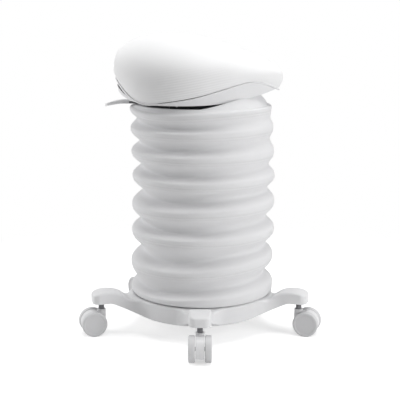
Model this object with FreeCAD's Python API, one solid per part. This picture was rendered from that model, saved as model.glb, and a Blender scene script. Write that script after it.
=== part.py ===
import FreeCAD, Part
import math
import os

Vec = FreeCAD.Vector
AXIS_X = Vec(1, 0, 0)
AXIS_Y = Vec(0, 1, 0)
AXIS_Z = Vec(0, 0, 1)

# A wobble stool, in millimetres. +Z is up, the floor is at z = 0 and the column stands on the origin.
# +X points to the saddle's nose, and one arm of the base points to -Y.

# Clearances
RUNNING_GAP = 0.05
SOFT_GAP = 0.3
SIDE_GAP = 0.8
SCREW_GAP = 0.1

# Overall sizes: the seat plate's height, the column's travel and the circle of the caster stems
SEAT_PLATE_HEIGHT = 456.5
LIFT_TRAVEL = 100.0
STEM_CIRCLE_RADIUS = 205.8

# Casters
ARM_COUNT = 5
FIRST_ARM_ANGLE = -90.0
WHEEL_RADIUS = 25.0
WHEEL_WIDTH = 12.5
WHEEL_EDGE = 2.5
WHEEL_GROOVE_RADIUS = 20.0
WHEEL_GROOVE_DEPTH = 0.7
WHEEL_RIM_WALL = 3.5
WHEEL_DISC_WALL = 3.0
WHEEL_HUB_RADIUS = 7.0
WHEEL_RIBS = 5
WHEEL_RIB_WALL = 2.0
WHEEL_RIB_DEPTH = 4.0
WHEEL_BOTTOM_OF_BORE = 2.5
AXLE_RADIUS = 4.0
HOOD_WIDTH = 16.5
HOOD_BELOW_TREAD = 1.6
HOOD_WALL = 2.4
HOOD_LOW_EDGE = 12.0
STEM_SHOWN = 15.0
HOOD_BOSS_RADIUS = 8.5
HOOD_WEB = 2.4
AXLE_BOSS_WALL = 3.0
TRAIL = 17.2
STEM_RADIUS = 5.5
STEM_COLLAR_RADIUS = 7.5
STEM_COLLAR_HEIGHT = 2.0
STEM_IN_HOOD = 21.0
STEM_SEAT_WALL = 4.0
HOOD_ABOVE_WHEEL = 1.0
SLEEVE_WALL = 1.5
SLEEVE_LENGTH = 13.5
STEM_SHORT = 1.0

# Star base
ARM_END_LENGTH = 18.0
ARM_HALF_WIDTH = 20.8
ARM_CORNER_RADIUS = 13.0
FLARE_SHARE = 0.755
ARM_EDGE_ROUND = 4.5
HUB_RADIUS = 139.5
HUB_BELOW_ARM_END = 24.0
HUB_HEIGHT = 32.5
HUB_WALL = 4.0
DISH_WALL = 12.5
LEDGE_DEPTH = 4.5
RIM_WALL = 5.0
FLOOR_ABOVE_BOTTOM = 12.0
FLOOR_WALL = 5.0
HUB_RIBS = 10
RIB_WALL = 3.0
HUB_BOSS_RADIUS = 32.0
NECK_DROP = 3.0
NECK_SHARE = 0.12
SHOULDER_RISE = 7.0
HUMP_SHARE = 0.685
HUMP_RISE = 13.5
ARM_END_WALL = 13.5
KNEE_SHARE = 0.67
KNEE_DROP = 2.5
KNEE_LENGTH_SHARE = 0.12
ARM_WALL = 3.5
ARM_CROSS_RIBS = 2

# Hub cover
COVER_WALL = 3.0
COVER_INSET = 3.0
COVER_DROP = 4.5
COVER_LIP = 4.0
COVER_SCREW_CIRCLE = 92.0
COVER_SCREW_RADIUS = 2.4
COVER_SCREW_LENGTH = 9.0
COVER_BOSS_WALL = 4.0
COVER_SCREW_HEAD = 2.0
COVER_SCREW_HEAD_HEIGHT = 1.6

# Wobble joint
PIVOT_ABOVE_YOKE = 43.0
YOKE_PLATE_RADIUS = 64.0
YOKE_PLATE_WALL = 4.0
EAR_INNER = 52.0
EAR_WALL = 5.0
EAR_HALF_WIDTH = 14.0
PIN_RADIUS = 5.0
PIN_HEAD_RADIUS = 7.5
PIN_HEAD_HEIGHT = 3.0
BUSH_WALL = 2.0
GIMBAL_INNER = 40.0
GIMBAL_WALL = 7.0
GIMBAL_HEIGHT = 22.0
GIMBAL_BOSS = 3.0
GIMBAL_BOSS_RADIUS = 10.5
YOKE_SCREW_CIRCLE = 56.0
YOKE_SCREW_RADIUS = 2.9
YOKE_SCREW_LENGTH = 11.0
YOKE_SCREW_HEAD = 2.2
YOKE_SCREW_HEAD_HEIGHT = 3.2
YOKE_SCREW_COUNT = 4
BUFFER_INNER = 31.0
BUFFER_OUTER = 44.0
BUFFER_WAIST = 2.5
PIN_END_GAP = 1.0

# Column and gas lift
TUBE_RADIUS = 25.0
TUBE_WALL = 2.0
TUBE_ABOVE_YOKE = 9.0
TUBE_END_GAP = 5.0
TUBE_FLOOR = 3.5
SOCKET_RADIUS = 33.0
SOCKET_FLANGE_RADIUS = 46.0
SOCKET_ABOVE_YOKE = 13.0
SOCKET_FLANGE = 5.0
SOCKET_ABOVE_PIVOT = 32.0
SOCKET_CHAMFER = 10.0
SOCKET_LIP = 2.5
PIN_IN_SOCKET = 2.0
BUSH_LENGTH = 78.0
BUSH_CAP = 3.0
CYLINDER_RADIUS = 14.0
CYLINDER_WALL = 2.5
BUMP_GAP = 2.0
CYLINDER_END_WALL = 7.0
ROD_RADIUS = 5.0
ROD_END = 5.0
CLIP_WALL = 1.5
CLIP_RADIUS = 9.0
CLIP_MOUTH = 5.0
ROD_COLLAR = 2.0
PISTON_HEIGHT = 10.0
PISTON_GAP = 2.0
RACE_WALL = 2.5
RACE_RADIUS = 16.0
BALL_RADIUS = 2.5
BALL_COUNT = 8
BALL_CIRCLE = 11.3
CAGE_WALL = 2.0
CAGE_INSET = 1.0
BALL_FREE_PLAY = 0.02
BUMP_STOP_RADIUS = 14.0
BUMP_STOP_HEIGHT = 12.0
BUMP_STOP_TAPER = 3.0
VALVE_RADIUS = 3.0
VALVE_COLLAR = 4.5
VALVE_PROUD = 3.2
VALVE_COLLAR_HEIGHT = 2.5
VALVE_PIN_BELOW = 5.0

# Sleeve carrier, which slides with the seat and does not turn with it
CARRIER_HUB_RADIUS = 23.0
CARRIER_HUB_HEIGHT = 14.0
CARRIER_HUB_SKIRT = 5.0
CARRIER_SHEET = 3.0
CARRIER_RIM_RADIUS = 117.0
CARRIER_RIM_WALL = 3.0
CARRIER_RIM_HEIGHT = 18.3
CARRIER_FLANGE = 10.0
CARRIER_BELOW_PAN = 10.2
VENT_COUNT = 8
VENT_RADIUS = 9.0
VENT_CIRCLE = 78.0
WASHER_WALL = 3.3
WASHER_GAP = 0.7
WASHER_INSET = 2.0
CLAMP_WALL = 1.6
CLAMP_COLLAR = 2.0
CARRIER_CLIP_WALL = 3.0
CARRIER_CLIP_WIDTH = 4.0

# Ribbed cloth sleeve, from its first fold under the seat to its last one above the hub
FOLD_COUNT = 8
TOP_FOLD_DROP = 0.3
LOW_FOLD_RISE = 10.5
FOLD_PITCH_GROWTH = 1.163
TOP_FOLD_RADIUS = 139.0
LOW_FOLD_OVERHANG = 6.5
FOLD_DEPTH = 14.0
SLEEVE_CROWN = 3.0
SLEEVE_ABOVE_HUB = 4.0
SLEEVE_HEM_INSET = 2.5
SLEEVE_CLOTH = 3.0
SLEEVE_TOP_CLOTH = 1.6
HEM_RING_WALL = 2.5
HEM_RING_HEIGHT = 15.0

# Saddle
SEAT_BACK = -169.0
SEAT_NOSE = 163.0
SEAT_BACK_RADIUS = 140.0
SEAT_NOSE_RADIUS = 58.0
SEAT_SIDE_RADIUS = 300.0
CREST_RISE = 130.5
CREST_X = -62.0
BACK_LIP_RISE = 65.5
NOSE_LIP_RISE = 58.5
BACK_FALL_POWER = 2.3
NOSE_FALL_POWER = 1.75
NOSE_FALL_EASE = 0.95
CUSHION_SKIRT = 15.0
SKIRT_WIDTH = 0.93
WAIST_HEIGHT = 0.35
SHOULDER_HEIGHT = 0.75
SHOULDER_WIDTH = 0.76
CUSHION_DRAW_IN = ((26.0, -16.5), (10.0, 18.5), (3.0, 46.5), (0.0, 73.5), (0.0, 160.0))
PAN_INSET = 2.5
PAN_DRAFT = 14.0
PAN_SPAN_BELOW = 16.5
PAN_SPAN_ABOVE = 58.5
PAN_WALL = 3.5
PAN_FLOOR = 3.5
PAN_ABOVE_PLATE = 0.5
PAN_PAD_WALL = 9.5
PAN_PILLAR_RADIUS = 7.0
PAN_RIB = 2.4
PAN_CROSS_RIBS = (-110.0, -60.0, 60.0, 105.0)
PAN_LONG_RIBS = (-48.0, 48.0)
BOARD_WALL = 6.0
BOARD_INSET = 15.0
BOARD_SEAT_GAP = 0.1
SEAM_GAP = 1.2

# Seat plate and lever
PLATE_LENGTH = 150.0
PLATE_WIDTH = 120.0
PLATE_WALL = 2.5
CHANNEL_LENGTH = 116.0
CHANNEL_WIDTH = 66.0
CHANNEL_DEPTH = 26.5
PLATE_SOCKET_WALL = 4.0
PLATE_SOCKET_LENGTH = 16.0
TAPER = 0.8
TAPER_ABOVE_CHANNEL = 13.0
SEAT_SCREW_RADIUS = 2.9
SEAT_SCREW_HEAD = 2.4
SEAT_SCREW_HEAD_HEIGHT = 3.2
SEAT_SCREW_END = 11.0
SEAT_SCREW_SIDE = 12.0
LEVER_BELOW_PAN = 7.5
LEVER_ROD_RADIUS = 2.5
LEVER_PIVOT = 45.0
LEVER_PIN_RADIUS = 2.5
LEVER_BOSS_RADIUS = 5.5
LEVER_BEND_START = 62.0
LEVER_BEND_END = 112.0
LEVER_RISE = 4.8
LEVER_ROD_END = 158.0
LEVER_TOE = 5.0
LEVER_BOSS_LENGTH = 12.0
LEVER_SLOT_GAP = 2.0
PADDLE_START = 139.0
PADDLE_END = 187.0
PADDLE_HALF_WIDTH = 15.0
PADDLE_WALL = 6.0
PADDLE_OFFSET = 2.0
PADDLE_DROOP = 8.0
PADDLE_FLAT = 14.0
PADDLE_TAPER = 4.0
PADDLE_NOSE = 8.0

# Heights and places that follow from the sizes above, from the floor to the seat
HOOD_RADIUS = WHEEL_RADIUS - HOOD_BELOW_TREAD
HOOD_TOP = 2 * WHEEL_RADIUS + HOOD_ABOVE_WHEEL
STEM_BOTTOM = HOOD_TOP - STEM_IN_HOOD
WHEEL_INNER = HOOD_WIDTH / 2 + SIDE_GAP
CASTER_HALF_WIDTH = WHEEL_INNER + WHEEL_WIDTH
SLEEVE_RADIUS = STEM_RADIUS + SLEEVE_WALL
ARM_END_BOTTOM = 2 * WHEEL_RADIUS + STEM_SHOWN
ARM_END_TOP = ARM_END_BOTTOM + ARM_END_WALL
STEM_TOP = ARM_END_BOTTOM + SLEEVE_LENGTH - STEM_SHORT
ARM_TIP = STEM_CIRCLE_RADIUS + ARM_END_LENGTH
ARM_SPAN = STEM_CIRCLE_RADIUS - HUB_RADIUS
ARM_FLARE_RADIUS = FLARE_SHARE * ARM_SPAN
ARM_KNEE_RADIUS = HUB_RADIUS + KNEE_SHARE * ARM_SPAN
KNEE_LENGTH = KNEE_LENGTH_SHARE * ARM_SPAN
ARM_KNEE_HEIGHT = ARM_END_BOTTOM - KNEE_DROP
HUB_BOTTOM = ARM_END_BOTTOM - HUB_BELOW_ARM_END
HUB_RIM_TOP = HUB_BOTTOM + HUB_HEIGHT
LEDGE_HEIGHT = HUB_RIM_TOP - LEDGE_DEPTH
FLOOR_TOP = HUB_BOTTOM + FLOOR_ABOVE_BOTTOM
DISH_RADIUS = HUB_RADIUS - DISH_WALL
NECK_RADIUS = HUB_RADIUS + NECK_SHARE * ARM_SPAN
HUMP_RADIUS = HUB_RADIUS + HUMP_SHARE * ARM_SPAN
HUMP_TOP = HUB_RIM_TOP + HUMP_RISE
YOKE_TOP = FLOOR_TOP + YOKE_PLATE_WALL
PIVOT_HEIGHT = YOKE_TOP + PIVOT_ABOVE_YOKE
GIMBAL_OUTER = GIMBAL_INNER + GIMBAL_WALL
BUSH_OUTER_FACE = GIMBAL_OUTER + GIMBAL_BOSS
SOCKET_BOTTOM = YOKE_TOP + SOCKET_ABOVE_YOKE
SOCKET_TOP = PIVOT_HEIGHT + SOCKET_ABOVE_PIVOT
TUBE_BOTTOM = YOKE_TOP + TUBE_ABOVE_YOKE
ROD_BOTTOM = TUBE_BOTTOM - ROD_END
RACE_BOTTOM = TUBE_BOTTOM + TUBE_FLOOR
BALL_HEIGHT = RACE_BOTTOM + RACE_WALL + BALL_RADIUS
UPPER_RACE_BOTTOM = BALL_HEIGHT + BALL_RADIUS
BUMP_STOP_BOTTOM = UPPER_RACE_BOTTOM + RACE_WALL
CYLINDER_BOTTOM = BUMP_STOP_BOTTOM + BUMP_STOP_HEIGHT + BUMP_GAP + LIFT_TRAVEL
CHANNEL_BOTTOM = SEAT_PLATE_HEIGHT - CHANNEL_DEPTH
CYLINDER_TOP = CHANNEL_BOTTOM + TAPER_ABOVE_CHANNEL
PLATE_SOCKET_BOTTOM = CHANNEL_BOTTOM - PLATE_SOCKET_LENGTH
CARRIER_HUB_TOP = PLATE_SOCKET_BOTTOM - WASHER_WALL - WASHER_GAP
CARRIER_HUB_BOTTOM = CARRIER_HUB_TOP - CARRIER_HUB_HEIGHT
CARRIER_TOP = SEAT_PLATE_HEIGHT - CARRIER_BELOW_PAN
TUBE_TOP = CARRIER_HUB_BOTTOM - LIFT_TRAVEL - CARRIER_CLIP_WALL - BUSH_CAP - TUBE_END_GAP
BUSH_TOP = TUBE_TOP + BUSH_CAP
SLEEVE_HEM_RADIUS = HUB_RADIUS - SLEEVE_HEM_INSET
SLEEVE_BOTTOM = HUB_RIM_TOP + SLEEVE_ABOVE_HUB
SLEEVE_TOP = CARRIER_TOP + SOFT_GAP + SLEEVE_TOP_CLOTH
TOP_FOLD_HEIGHT = CARRIER_TOP - TOP_FOLD_DROP
LEVER_HEIGHT = SEAT_PLATE_HEIGHT - LEVER_BELOW_PAN
BELOW_SEAT = SEAT_PLATE_HEIGHT - 40
ABOVE_SEAT = SEAT_PLATE_HEIGHT + 180
WIDER_THAN_SEAT = 250.0


def save(name, shape):
    """Write one node as parts/NAME.step."""
    shape.exportStep("parts/" + name + ".step")


def cylinder(radius, low, high):
    """A round bar on the Z axis between two heights."""
    return Part.makeCylinder(radius, high - low, Vec(0, 0, low))


def ring(inner, outer, low, high):
    """A plain ring on the Z axis between two heights."""
    return cylinder(outer, low, high).cut(cylinder(inner, low - 1, high + 1))


def bar(radius, start, end):
    """A round bar from one point to another."""
    way = end - start
    return Part.makeCylinder(radius, way.Length, start, way)


def box(low_x, high_x, low_y, high_y, low_z, high_z):
    """A block between two corners."""
    return Part.makeBox(high_x - low_x, high_y - low_y, high_z - low_z, Vec(low_x, low_y, low_z))


def arc(start, middle, end):
    """An arc edge through three points."""
    return Part.Arc(start, middle, end).toShape()


def line(start, end):
    """A straight edge."""
    return Part.LineSegment(start, end).toShape()


def turned(edges):
    """The solid that a closed profile in the XZ plane makes when it is turned about Z."""
    face = Part.Face(Part.Wire(Part.__sortEdges__(edges)))
    return Part.makeSolid(face.revolve(Vec(0, 0, 0), AXIS_Z, 360))


def turned_points(points):
    """The solid turned from a closed polygon of (radius, height) pairs."""
    corners = [Vec(radius, 0, height) for radius, height in points]
    wire = Part.makePolygon(corners + corners[:1])
    return Part.makeSolid(Part.Face(wire).revolve(Vec(0, 0, 0), AXIS_Z, 360))


def rotated(shape, angle, axis=AXIS_Z, centre=Vec(0, 0, 0)):
    """A copy of a shape, turned about an axis by an angle in degrees."""
    copy = shape.copy()
    copy.rotate(centre, axis, angle)
    return copy


def around(shape, count, first=0.0):
    """Copies of a shape, evenly spaced about Z."""
    return [rotated(shape, first + 360.0 * i / count) for i in range(count)]


def curve_edge(points):
    """A smooth edge through (x, z) points in the XZ plane."""
    curve = Part.BSplineCurve()
    curve.interpolate([Vec(x, 0, z) for x, z in points])
    return curve.toShape()


# Casters

def at_arm(shape, index):
    """Move a piece made round a stem on the origin, trailing to +X, to its arm."""
    copy = shape.copy()
    copy.translate(Vec(STEM_CIRCLE_RADIUS, 0, 0))
    return rotated(copy, FIRST_ARM_ANGLE + 360.0 * index / ARM_COUNT)


def caster_stem():
    """A steel pin with a collar that bears against the arm."""
    pin = cylinder(STEM_RADIUS, STEM_BOTTOM, STEM_TOP)
    return pin.fuse(cylinder(STEM_COLLAR_RADIUS, ARM_END_BOTTOM - STEM_COLLAR_HEIGHT, ARM_END_BOTTOM))


def caster_sleeve():
    """A steel sleeve pressed into the arm's end."""
    return ring(STEM_RADIUS, SLEEVE_RADIUS, ARM_END_BOTTOM, ARM_END_BOTTOM + SLEEVE_LENGTH)


def caster_hood():
    """A round fender between the wheels, hollow from below, with bosses for the stem and the axle."""
    half = HOOD_WIDTH / 2
    middle = Vec(TRAIL, 0, WHEEL_RADIUS)
    fender = bar(HOOD_RADIUS, middle - AXIS_Y * half, middle + AXIS_Y * half)
    room = half - HOOD_WALL
    hollow = bar(HOOD_RADIUS - HOOD_WALL, middle - AXIS_Y * room, middle + AXIS_Y * room)
    reach = 2 * HOOD_RADIUS + TRAIL
    floor = box(-reach, reach, -half - 1, half + 1, 0, HOOD_LOW_EDGE)
    stem_boss = cylinder(HOOD_BOSS_RADIUS, STEM_BOTTOM - STEM_SEAT_WALL, HOOD_TOP)
    stem_boss = stem_boss.common(box(-reach, reach, -half, half, 0, HOOD_TOP))
    axle_boss = bar(AXLE_RADIUS + AXLE_BOSS_WALL, middle - AXIS_Y * half, middle + AXIS_Y * half)
    web = box(0, TRAIL, -HOOD_WEB / 2, HOOD_WEB / 2, WHEEL_RADIUS - AXLE_RADIUS, STEM_BOTTOM + AXLE_RADIUS)
    hood = fender.cut(hollow).cut(floor).fuse([stem_boss, axle_boss, web]).removeSplitter()
    hood = hood.cut(cylinder(STEM_RADIUS + RUNNING_GAP, STEM_BOTTOM, HOOD_TOP + 1))
    return hood.cut(bar(AXLE_RADIUS, middle - AXIS_Y * (half + 1), middle + AXIS_Y * (half + 1)))


def caster_axle():
    """A plain steel pin through both wheels."""
    reach = CASTER_HALF_WIDTH - WHEEL_DISC_WALL - PIN_END_GAP
    return bar(AXLE_RADIUS, Vec(TRAIL, -reach, WHEEL_RADIUS), Vec(TRAIL, reach, WHEEL_RADIUS))


def caster_wheel(side):
    """A dished wheel with rounded rims, a grooved outer face and ribs behind its disc."""
    outer = WHEEL_WIDTH
    radius = WHEEL_RADIUS
    edge = WHEEL_EDGE
    diagonal = edge * (1 - math.sqrt(0.5))
    groove = WHEEL_GROOVE_RADIUS
    depth = WHEEL_GROOVE_DEPTH
    rim = radius - WHEEL_RIM_WALL
    disc = outer - WHEEL_DISC_WALL
    bore = AXLE_RADIUS + RUNNING_GAP
    bore_end = outer - WHEEL_BOTTOM_OF_BORE
    chamfer = 1.0
    point = lambda r, h: Vec(r, 0, h)
    edges = [line(point(0, outer - depth), point(groove - chamfer, outer - depth)),
             line(point(groove - chamfer, outer - depth), point(groove, outer)),
             line(point(groove, outer), point(radius - edge, outer)),
             arc(point(radius - edge, outer), point(radius - diagonal, outer - diagonal),
                 point(radius, outer - edge)),
             line(point(radius, outer - edge), point(radius, edge)),
             arc(point(radius, edge), point(radius - diagonal, diagonal), point(radius - edge, 0)),
             line(point(radius - edge, 0), point(rim, chamfer)),
             line(point(rim, chamfer), point(rim, disc)),
             line(point(rim, disc), point(WHEEL_HUB_RADIUS, disc)),
             line(point(WHEEL_HUB_RADIUS, disc), point(WHEEL_HUB_RADIUS, 0)),
             line(point(WHEEL_HUB_RADIUS, 0), point(bore, 0)),
             line(point(bore, 0), point(bore, bore_end)),
             line(point(bore, bore_end), point(0, bore_end)),
             line(point(0, bore_end), point(0, outer - depth))]
    wheel = turned(edges)
    half_rib = WHEEL_RIB_WALL / 2
    rib_low = disc - WHEEL_RIB_DEPTH
    rib = box(WHEEL_HUB_RADIUS - half_rib, rim + half_rib, -half_rib, half_rib, rib_low, disc + half_rib / 2)
    wheel = wheel.fuse(around(rib, WHEEL_RIBS)).removeSplitter()
    wheel.rotate(Vec(0, 0, 0), AXIS_X, -90)
    if side < 0:
        wheel = rotated(wheel, 180)
    wheel.translate(Vec(TRAIL, side * WHEEL_INNER, WHEEL_RADIUS))
    return wheel


# Star base

def star_outline(inset, low, high):
    """The star seen from above, as a prism: a round hub with five arms that leave it in wide flares."""
    hub = HUB_RADIUS - inset
    half = ARM_HALF_WIDTH - inset
    flare = ARM_FLARE_RADIUS + inset
    tip = ARM_TIP - inset
    corner = max(ARM_CORNER_RADIUS - inset, 1.0)
    across = half + flare
    along = math.sqrt((hub + flare) ** 2 - across ** 2)
    start_angle = math.atan2(across, along)
    flare_middle = (start_angle + math.pi / 2) / 2
    bend = corner * (1 - math.sqrt(0.5))
    hub_point = lambda a: Vec(hub * math.cos(a), hub * math.sin(a), low)
    flare_centre = Vec(along, across, low)
    side = [hub_point(start_angle),
            flare_centre - Vec(math.cos(flare_middle), math.sin(flare_middle), 0) * flare,
            Vec(along, half, low),
            Vec(tip - corner, half, low),
            Vec(tip - bend, half - bend, low),
            Vec(tip, half - corner, low)]
    mirror = [Vec(p.x, -p.y, p.z) for p in side]
    arm = [arc(mirror[0], mirror[1], mirror[2]), line(mirror[2], mirror[3]),
           arc(mirror[3], mirror[4], mirror[5]), line(mirror[5], side[5]),
           arc(side[5], side[4], side[3]), line(side[3], side[2]), arc(side[2], side[1], side[0])]
    step = 2 * math.pi / ARM_COUNT
    arm.append(arc(hub_point(start_angle), hub_point(step / 2), hub_point(step - start_angle)))
    edges = []
    for i in range(ARM_COUNT):
        edges += [rotated(e, FIRST_ARM_ANGLE + 360.0 * i / ARM_COUNT) for e in arm]
    face = Part.Face(Part.Wire(Part.__sortEdges__(edges)))
    return face.extrude(Vec(0, 0, high - low))


def arm_height(inset):
    """The turned solid whose top is the arms' hump and whose bottom rises from the hub to the stems."""
    past = ARM_TIP + 5
    point = lambda r, h: Vec(r, 0, h - inset)
    top = [(HUB_RADIUS * share, HUB_RIM_TOP) for share in (0.85, 0.9, 0.95)]
    start = top[0]
    top += [(HUB_RADIUS, HUB_RIM_TOP - 0.2), (NECK_RADIUS, HUB_RIM_TOP - NECK_DROP),
            ((NECK_RADIUS + HUMP_RADIUS) / 2, HUB_RIM_TOP + SHOULDER_RISE), (HUMP_RADIUS, HUMP_TOP),
            (past, ARM_END_TOP)]
    corners = [point(past, ARM_END_TOP), point(past, ARM_END_BOTTOM),
               point(ARM_KNEE_RADIUS + KNEE_LENGTH, ARM_END_BOTTOM), point(ARM_KNEE_RADIUS, ARM_KNEE_HEIGHT),
               point(HUB_RADIUS, HUB_BOTTOM), point(0, HUB_BOTTOM), point(0, HUB_RIM_TOP), point(*start)]
    edges = [line(corners[i], corners[i + 1]) for i in range(len(corners) - 1)]
    edges.append(curve_edge([(r, h - inset) for r, h in top]))
    return rotated(turned(edges), FIRST_ARM_ANGLE + 180.0 / ARM_COUNT)


def star_top_edges(solid):
    """The edges where the arms' tops and the hub's rim meet the star's upright sides."""
    found = []
    for edge in solid.Edges:
        reach = min(math.hypot(v.X, v.Y) for v in edge.Vertexes)
        if reach > HUB_RADIUS - 0.1 and edge.BoundBox.ZMin > ARM_END_BOTTOM + 3:
            found.append(edge)
    return found


def star_base():
    """A moulded star: round dish, gull-wing arms open below and stiffened with ribs."""
    star = star_outline(0, HUB_BOTTOM - 1, HUMP_TOP + 10).common(arm_height(0)).Solids[0]
    star = star.makeFillet(ARM_EDGE_ROUND, star_top_edges(star))
    dish = cylinder(DISH_RADIUS, FLOOR_TOP, HUMP_TOP)
    step = cylinder(HUB_RADIUS - RIM_WALL, LEDGE_HEIGHT, HUMP_TOP)
    under = ring(HUB_BOSS_RADIUS, HUB_RADIUS - HUB_WALL, HUB_BOTTOM - 1, FLOOR_TOP - FLOOR_WALL)
    spoke = box(HUB_BOSS_RADIUS - 1, HUB_RADIUS, -RIB_WALL / 2, RIB_WALL / 2, HUB_BOTTOM - 1, FLOOR_TOP)
    screw_boss = cylinder(COVER_SCREW_RADIUS + COVER_BOSS_WALL, HUB_BOTTOM - 1, FLOOR_TOP)
    screw_boss.translate(Vec(COVER_SCREW_CIRCLE, 0, 0))
    ribs = around(spoke, HUB_RIBS, FIRST_ARM_ANGLE) + around(screw_boss, ARM_COUNT, FIRST_ARM_ANGLE)
    under = under.cut(Part.makeCompound(ribs))
    groove = ring(DISH_RADIUS + HUB_WALL, HUB_RADIUS - HUB_WALL, HUB_BOTTOM - 1, LEDGE_HEIGHT - HUB_WALL)
    star = star.cut([dish, step, under, groove])

    inner = star_outline(ARM_WALL, HUB_BOTTOM - 2 * ARM_WALL, HUMP_TOP + 10)
    inner = inner.common(arm_height(ARM_WALL))
    socket = STEM_CIRCLE_RADIUS - SLEEVE_RADIUS - ARM_WALL
    wide = 2 * ARM_HALF_WIDTH + ARM_FLARE_RADIUS / 2
    channel = box(HUB_RADIUS + 1, socket, -wide, wide, 0, HUMP_TOP)
    spacing = (socket - HUB_RADIUS) / (ARM_CROSS_RIBS + 1)
    places = [HUB_RADIUS + spacing * (i + 1) for i in range(ARM_CROSS_RIBS)]
    cross = [box(r - RIB_WALL / 2, r + RIB_WALL / 2, -wide, wide, 0, HUMP_TOP) for r in places]
    keel = box(HUB_RADIUS, STEM_CIRCLE_RADIUS, -RIB_WALL / 2, RIB_WALL / 2, 0, HUMP_TOP)
    channel = channel.cut([keel] + cross)
    hollow = inner.common(Part.makeCompound(around(channel, ARM_COUNT, FIRST_ARM_ANGLE)))
    stem_hole = cylinder(SLEEVE_RADIUS, ARM_END_BOTTOM - 1, ARM_END_BOTTOM + SLEEVE_LENGTH)
    holes = [at_arm(stem_hole, i) for i in range(ARM_COUNT)]
    cover_hole = cylinder(COVER_SCREW_RADIUS + SCREW_GAP, HUB_BOTTOM - 1, HUB_BOTTOM + COVER_SCREW_LENGTH)
    cover_hole.translate(Vec(COVER_SCREW_CIRCLE, 0, 0))
    holes += around(cover_hole, ARM_COUNT, FIRST_ARM_ANGLE)
    yoke_hole = cylinder(YOKE_SCREW_RADIUS + SCREW_GAP, YOKE_TOP - YOKE_SCREW_LENGTH - 1, FLOOR_TOP + 1)
    yoke_hole.translate(Vec(YOKE_SCREW_CIRCLE, 0, 0))
    holes += around(yoke_hole, YOKE_SCREW_COUNT, 180.0 / YOKE_SCREW_COUNT)
    return star.cut([hollow] + holes)


def hub_cover():
    """A round cover with a turned-up lip that closes the hub from below."""
    radius = HUB_RADIUS - COVER_INSET
    low = HUB_BOTTOM - COVER_DROP
    slope = COVER_LIP + COVER_WALL
    shell = turned_points([(0, low), (radius - COVER_LIP, low), (radius, HUB_BOTTOM - COVER_DROP / 2),
                           (radius, HUB_BOTTOM), (radius - COVER_LIP, HUB_BOTTOM),
                           (radius - slope, low + COVER_WALL), (0, low + COVER_WALL)])
    pillar = cylinder(COVER_SCREW_RADIUS + COVER_BOSS_WALL, low, HUB_BOTTOM)
    hole = cylinder(COVER_SCREW_RADIUS + SCREW_GAP, low - 1, HUB_BOTTOM + 1)
    head_radius = COVER_SCREW_RADIUS + COVER_SCREW_HEAD + SCREW_GAP
    head = cylinder(head_radius, low - 1, low + COVER_SCREW_HEAD_HEIGHT)
    at_circle = Vec(COVER_SCREW_CIRCLE, 0, 0)
    for piece in (pillar, hole, head):
        piece.translate(at_circle)
    shell = shell.fuse(around(pillar, ARM_COUNT, FIRST_ARM_ANGLE)).removeSplitter()
    return shell.cut(around(hole, ARM_COUNT, FIRST_ARM_ANGLE) + around(head, ARM_COUNT, FIRST_ARM_ANGLE))


def cover_screws():
    """Flat-headed screws that hold the hub cover."""
    low = HUB_BOTTOM - COVER_DROP
    under_head = low + COVER_SCREW_HEAD_HEIGHT
    screw = cylinder(COVER_SCREW_RADIUS, under_head, HUB_BOTTOM + COVER_SCREW_LENGTH - 1)
    screw = screw.fuse(cylinder(COVER_SCREW_RADIUS + COVER_SCREW_HEAD, low, under_head))
    screw.translate(Vec(COVER_SCREW_CIRCLE, 0, 0))
    return Part.makeCompound(around(screw, ARM_COUNT, FIRST_ARM_ANGLE))


# Wobble joint

def yoke():
    """A round steel plate with two upright ears, pierced on the X axis at the pivot's height."""
    plate = cylinder(YOKE_PLATE_RADIUS, FLOOR_TOP, YOKE_TOP)
    outer = EAR_INNER + EAR_WALL
    ear = box(EAR_INNER, outer, -EAR_HALF_WIDTH, EAR_HALF_WIDTH, YOKE_TOP, PIVOT_HEIGHT)
    ear = ear.fuse(bar(EAR_HALF_WIDTH, Vec(EAR_INNER, 0, PIVOT_HEIGHT), Vec(outer, 0, PIVOT_HEIGHT)))
    body = plate.fuse([ear, rotated(ear, 180)]).removeSplitter()
    pin_way = bar(PIN_RADIUS, Vec(-outer - 1, 0, PIVOT_HEIGHT), Vec(outer + 1, 0, PIVOT_HEIGHT))
    hole = cylinder(YOKE_SCREW_RADIUS + SCREW_GAP, FLOOR_TOP - 1, YOKE_TOP + 1)
    hole.translate(Vec(YOKE_SCREW_CIRCLE, 0, 0))
    return body.cut([pin_way] + around(hole, YOKE_SCREW_COUNT, 180.0 / YOKE_SCREW_COUNT))


def yoke_screws():
    """Screws that hold the yoke to the hub's floor."""
    screw = cylinder(YOKE_SCREW_RADIUS, YOKE_TOP - YOKE_SCREW_LENGTH, YOKE_TOP)
    head_top = YOKE_TOP + YOKE_SCREW_HEAD_HEIGHT
    screw = screw.fuse(cylinder(YOKE_SCREW_RADIUS + YOKE_SCREW_HEAD, YOKE_TOP, head_top))
    screw.translate(Vec(YOKE_SCREW_CIRCLE, 0, 0))
    return Part.makeCompound(around(screw, YOKE_SCREW_COUNT, 180.0 / YOKE_SCREW_COUNT))


def outer_pins():
    """Headed pins fixed in the yoke's ears, on which the gimbal ring turns."""
    inner = GIMBAL_INNER - PIN_END_GAP
    face = EAR_INNER + EAR_WALL
    head = face + PIN_HEAD_HEIGHT
    pin = bar(PIN_RADIUS, Vec(inner, 0, PIVOT_HEIGHT), Vec(face, 0, PIVOT_HEIGHT))
    pin = pin.fuse(bar(PIN_HEAD_RADIUS, Vec(face, 0, PIVOT_HEIGHT), Vec(head, 0, PIVOT_HEIGHT)))
    return Part.makeCompound([pin, rotated(pin, 180)])


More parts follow.
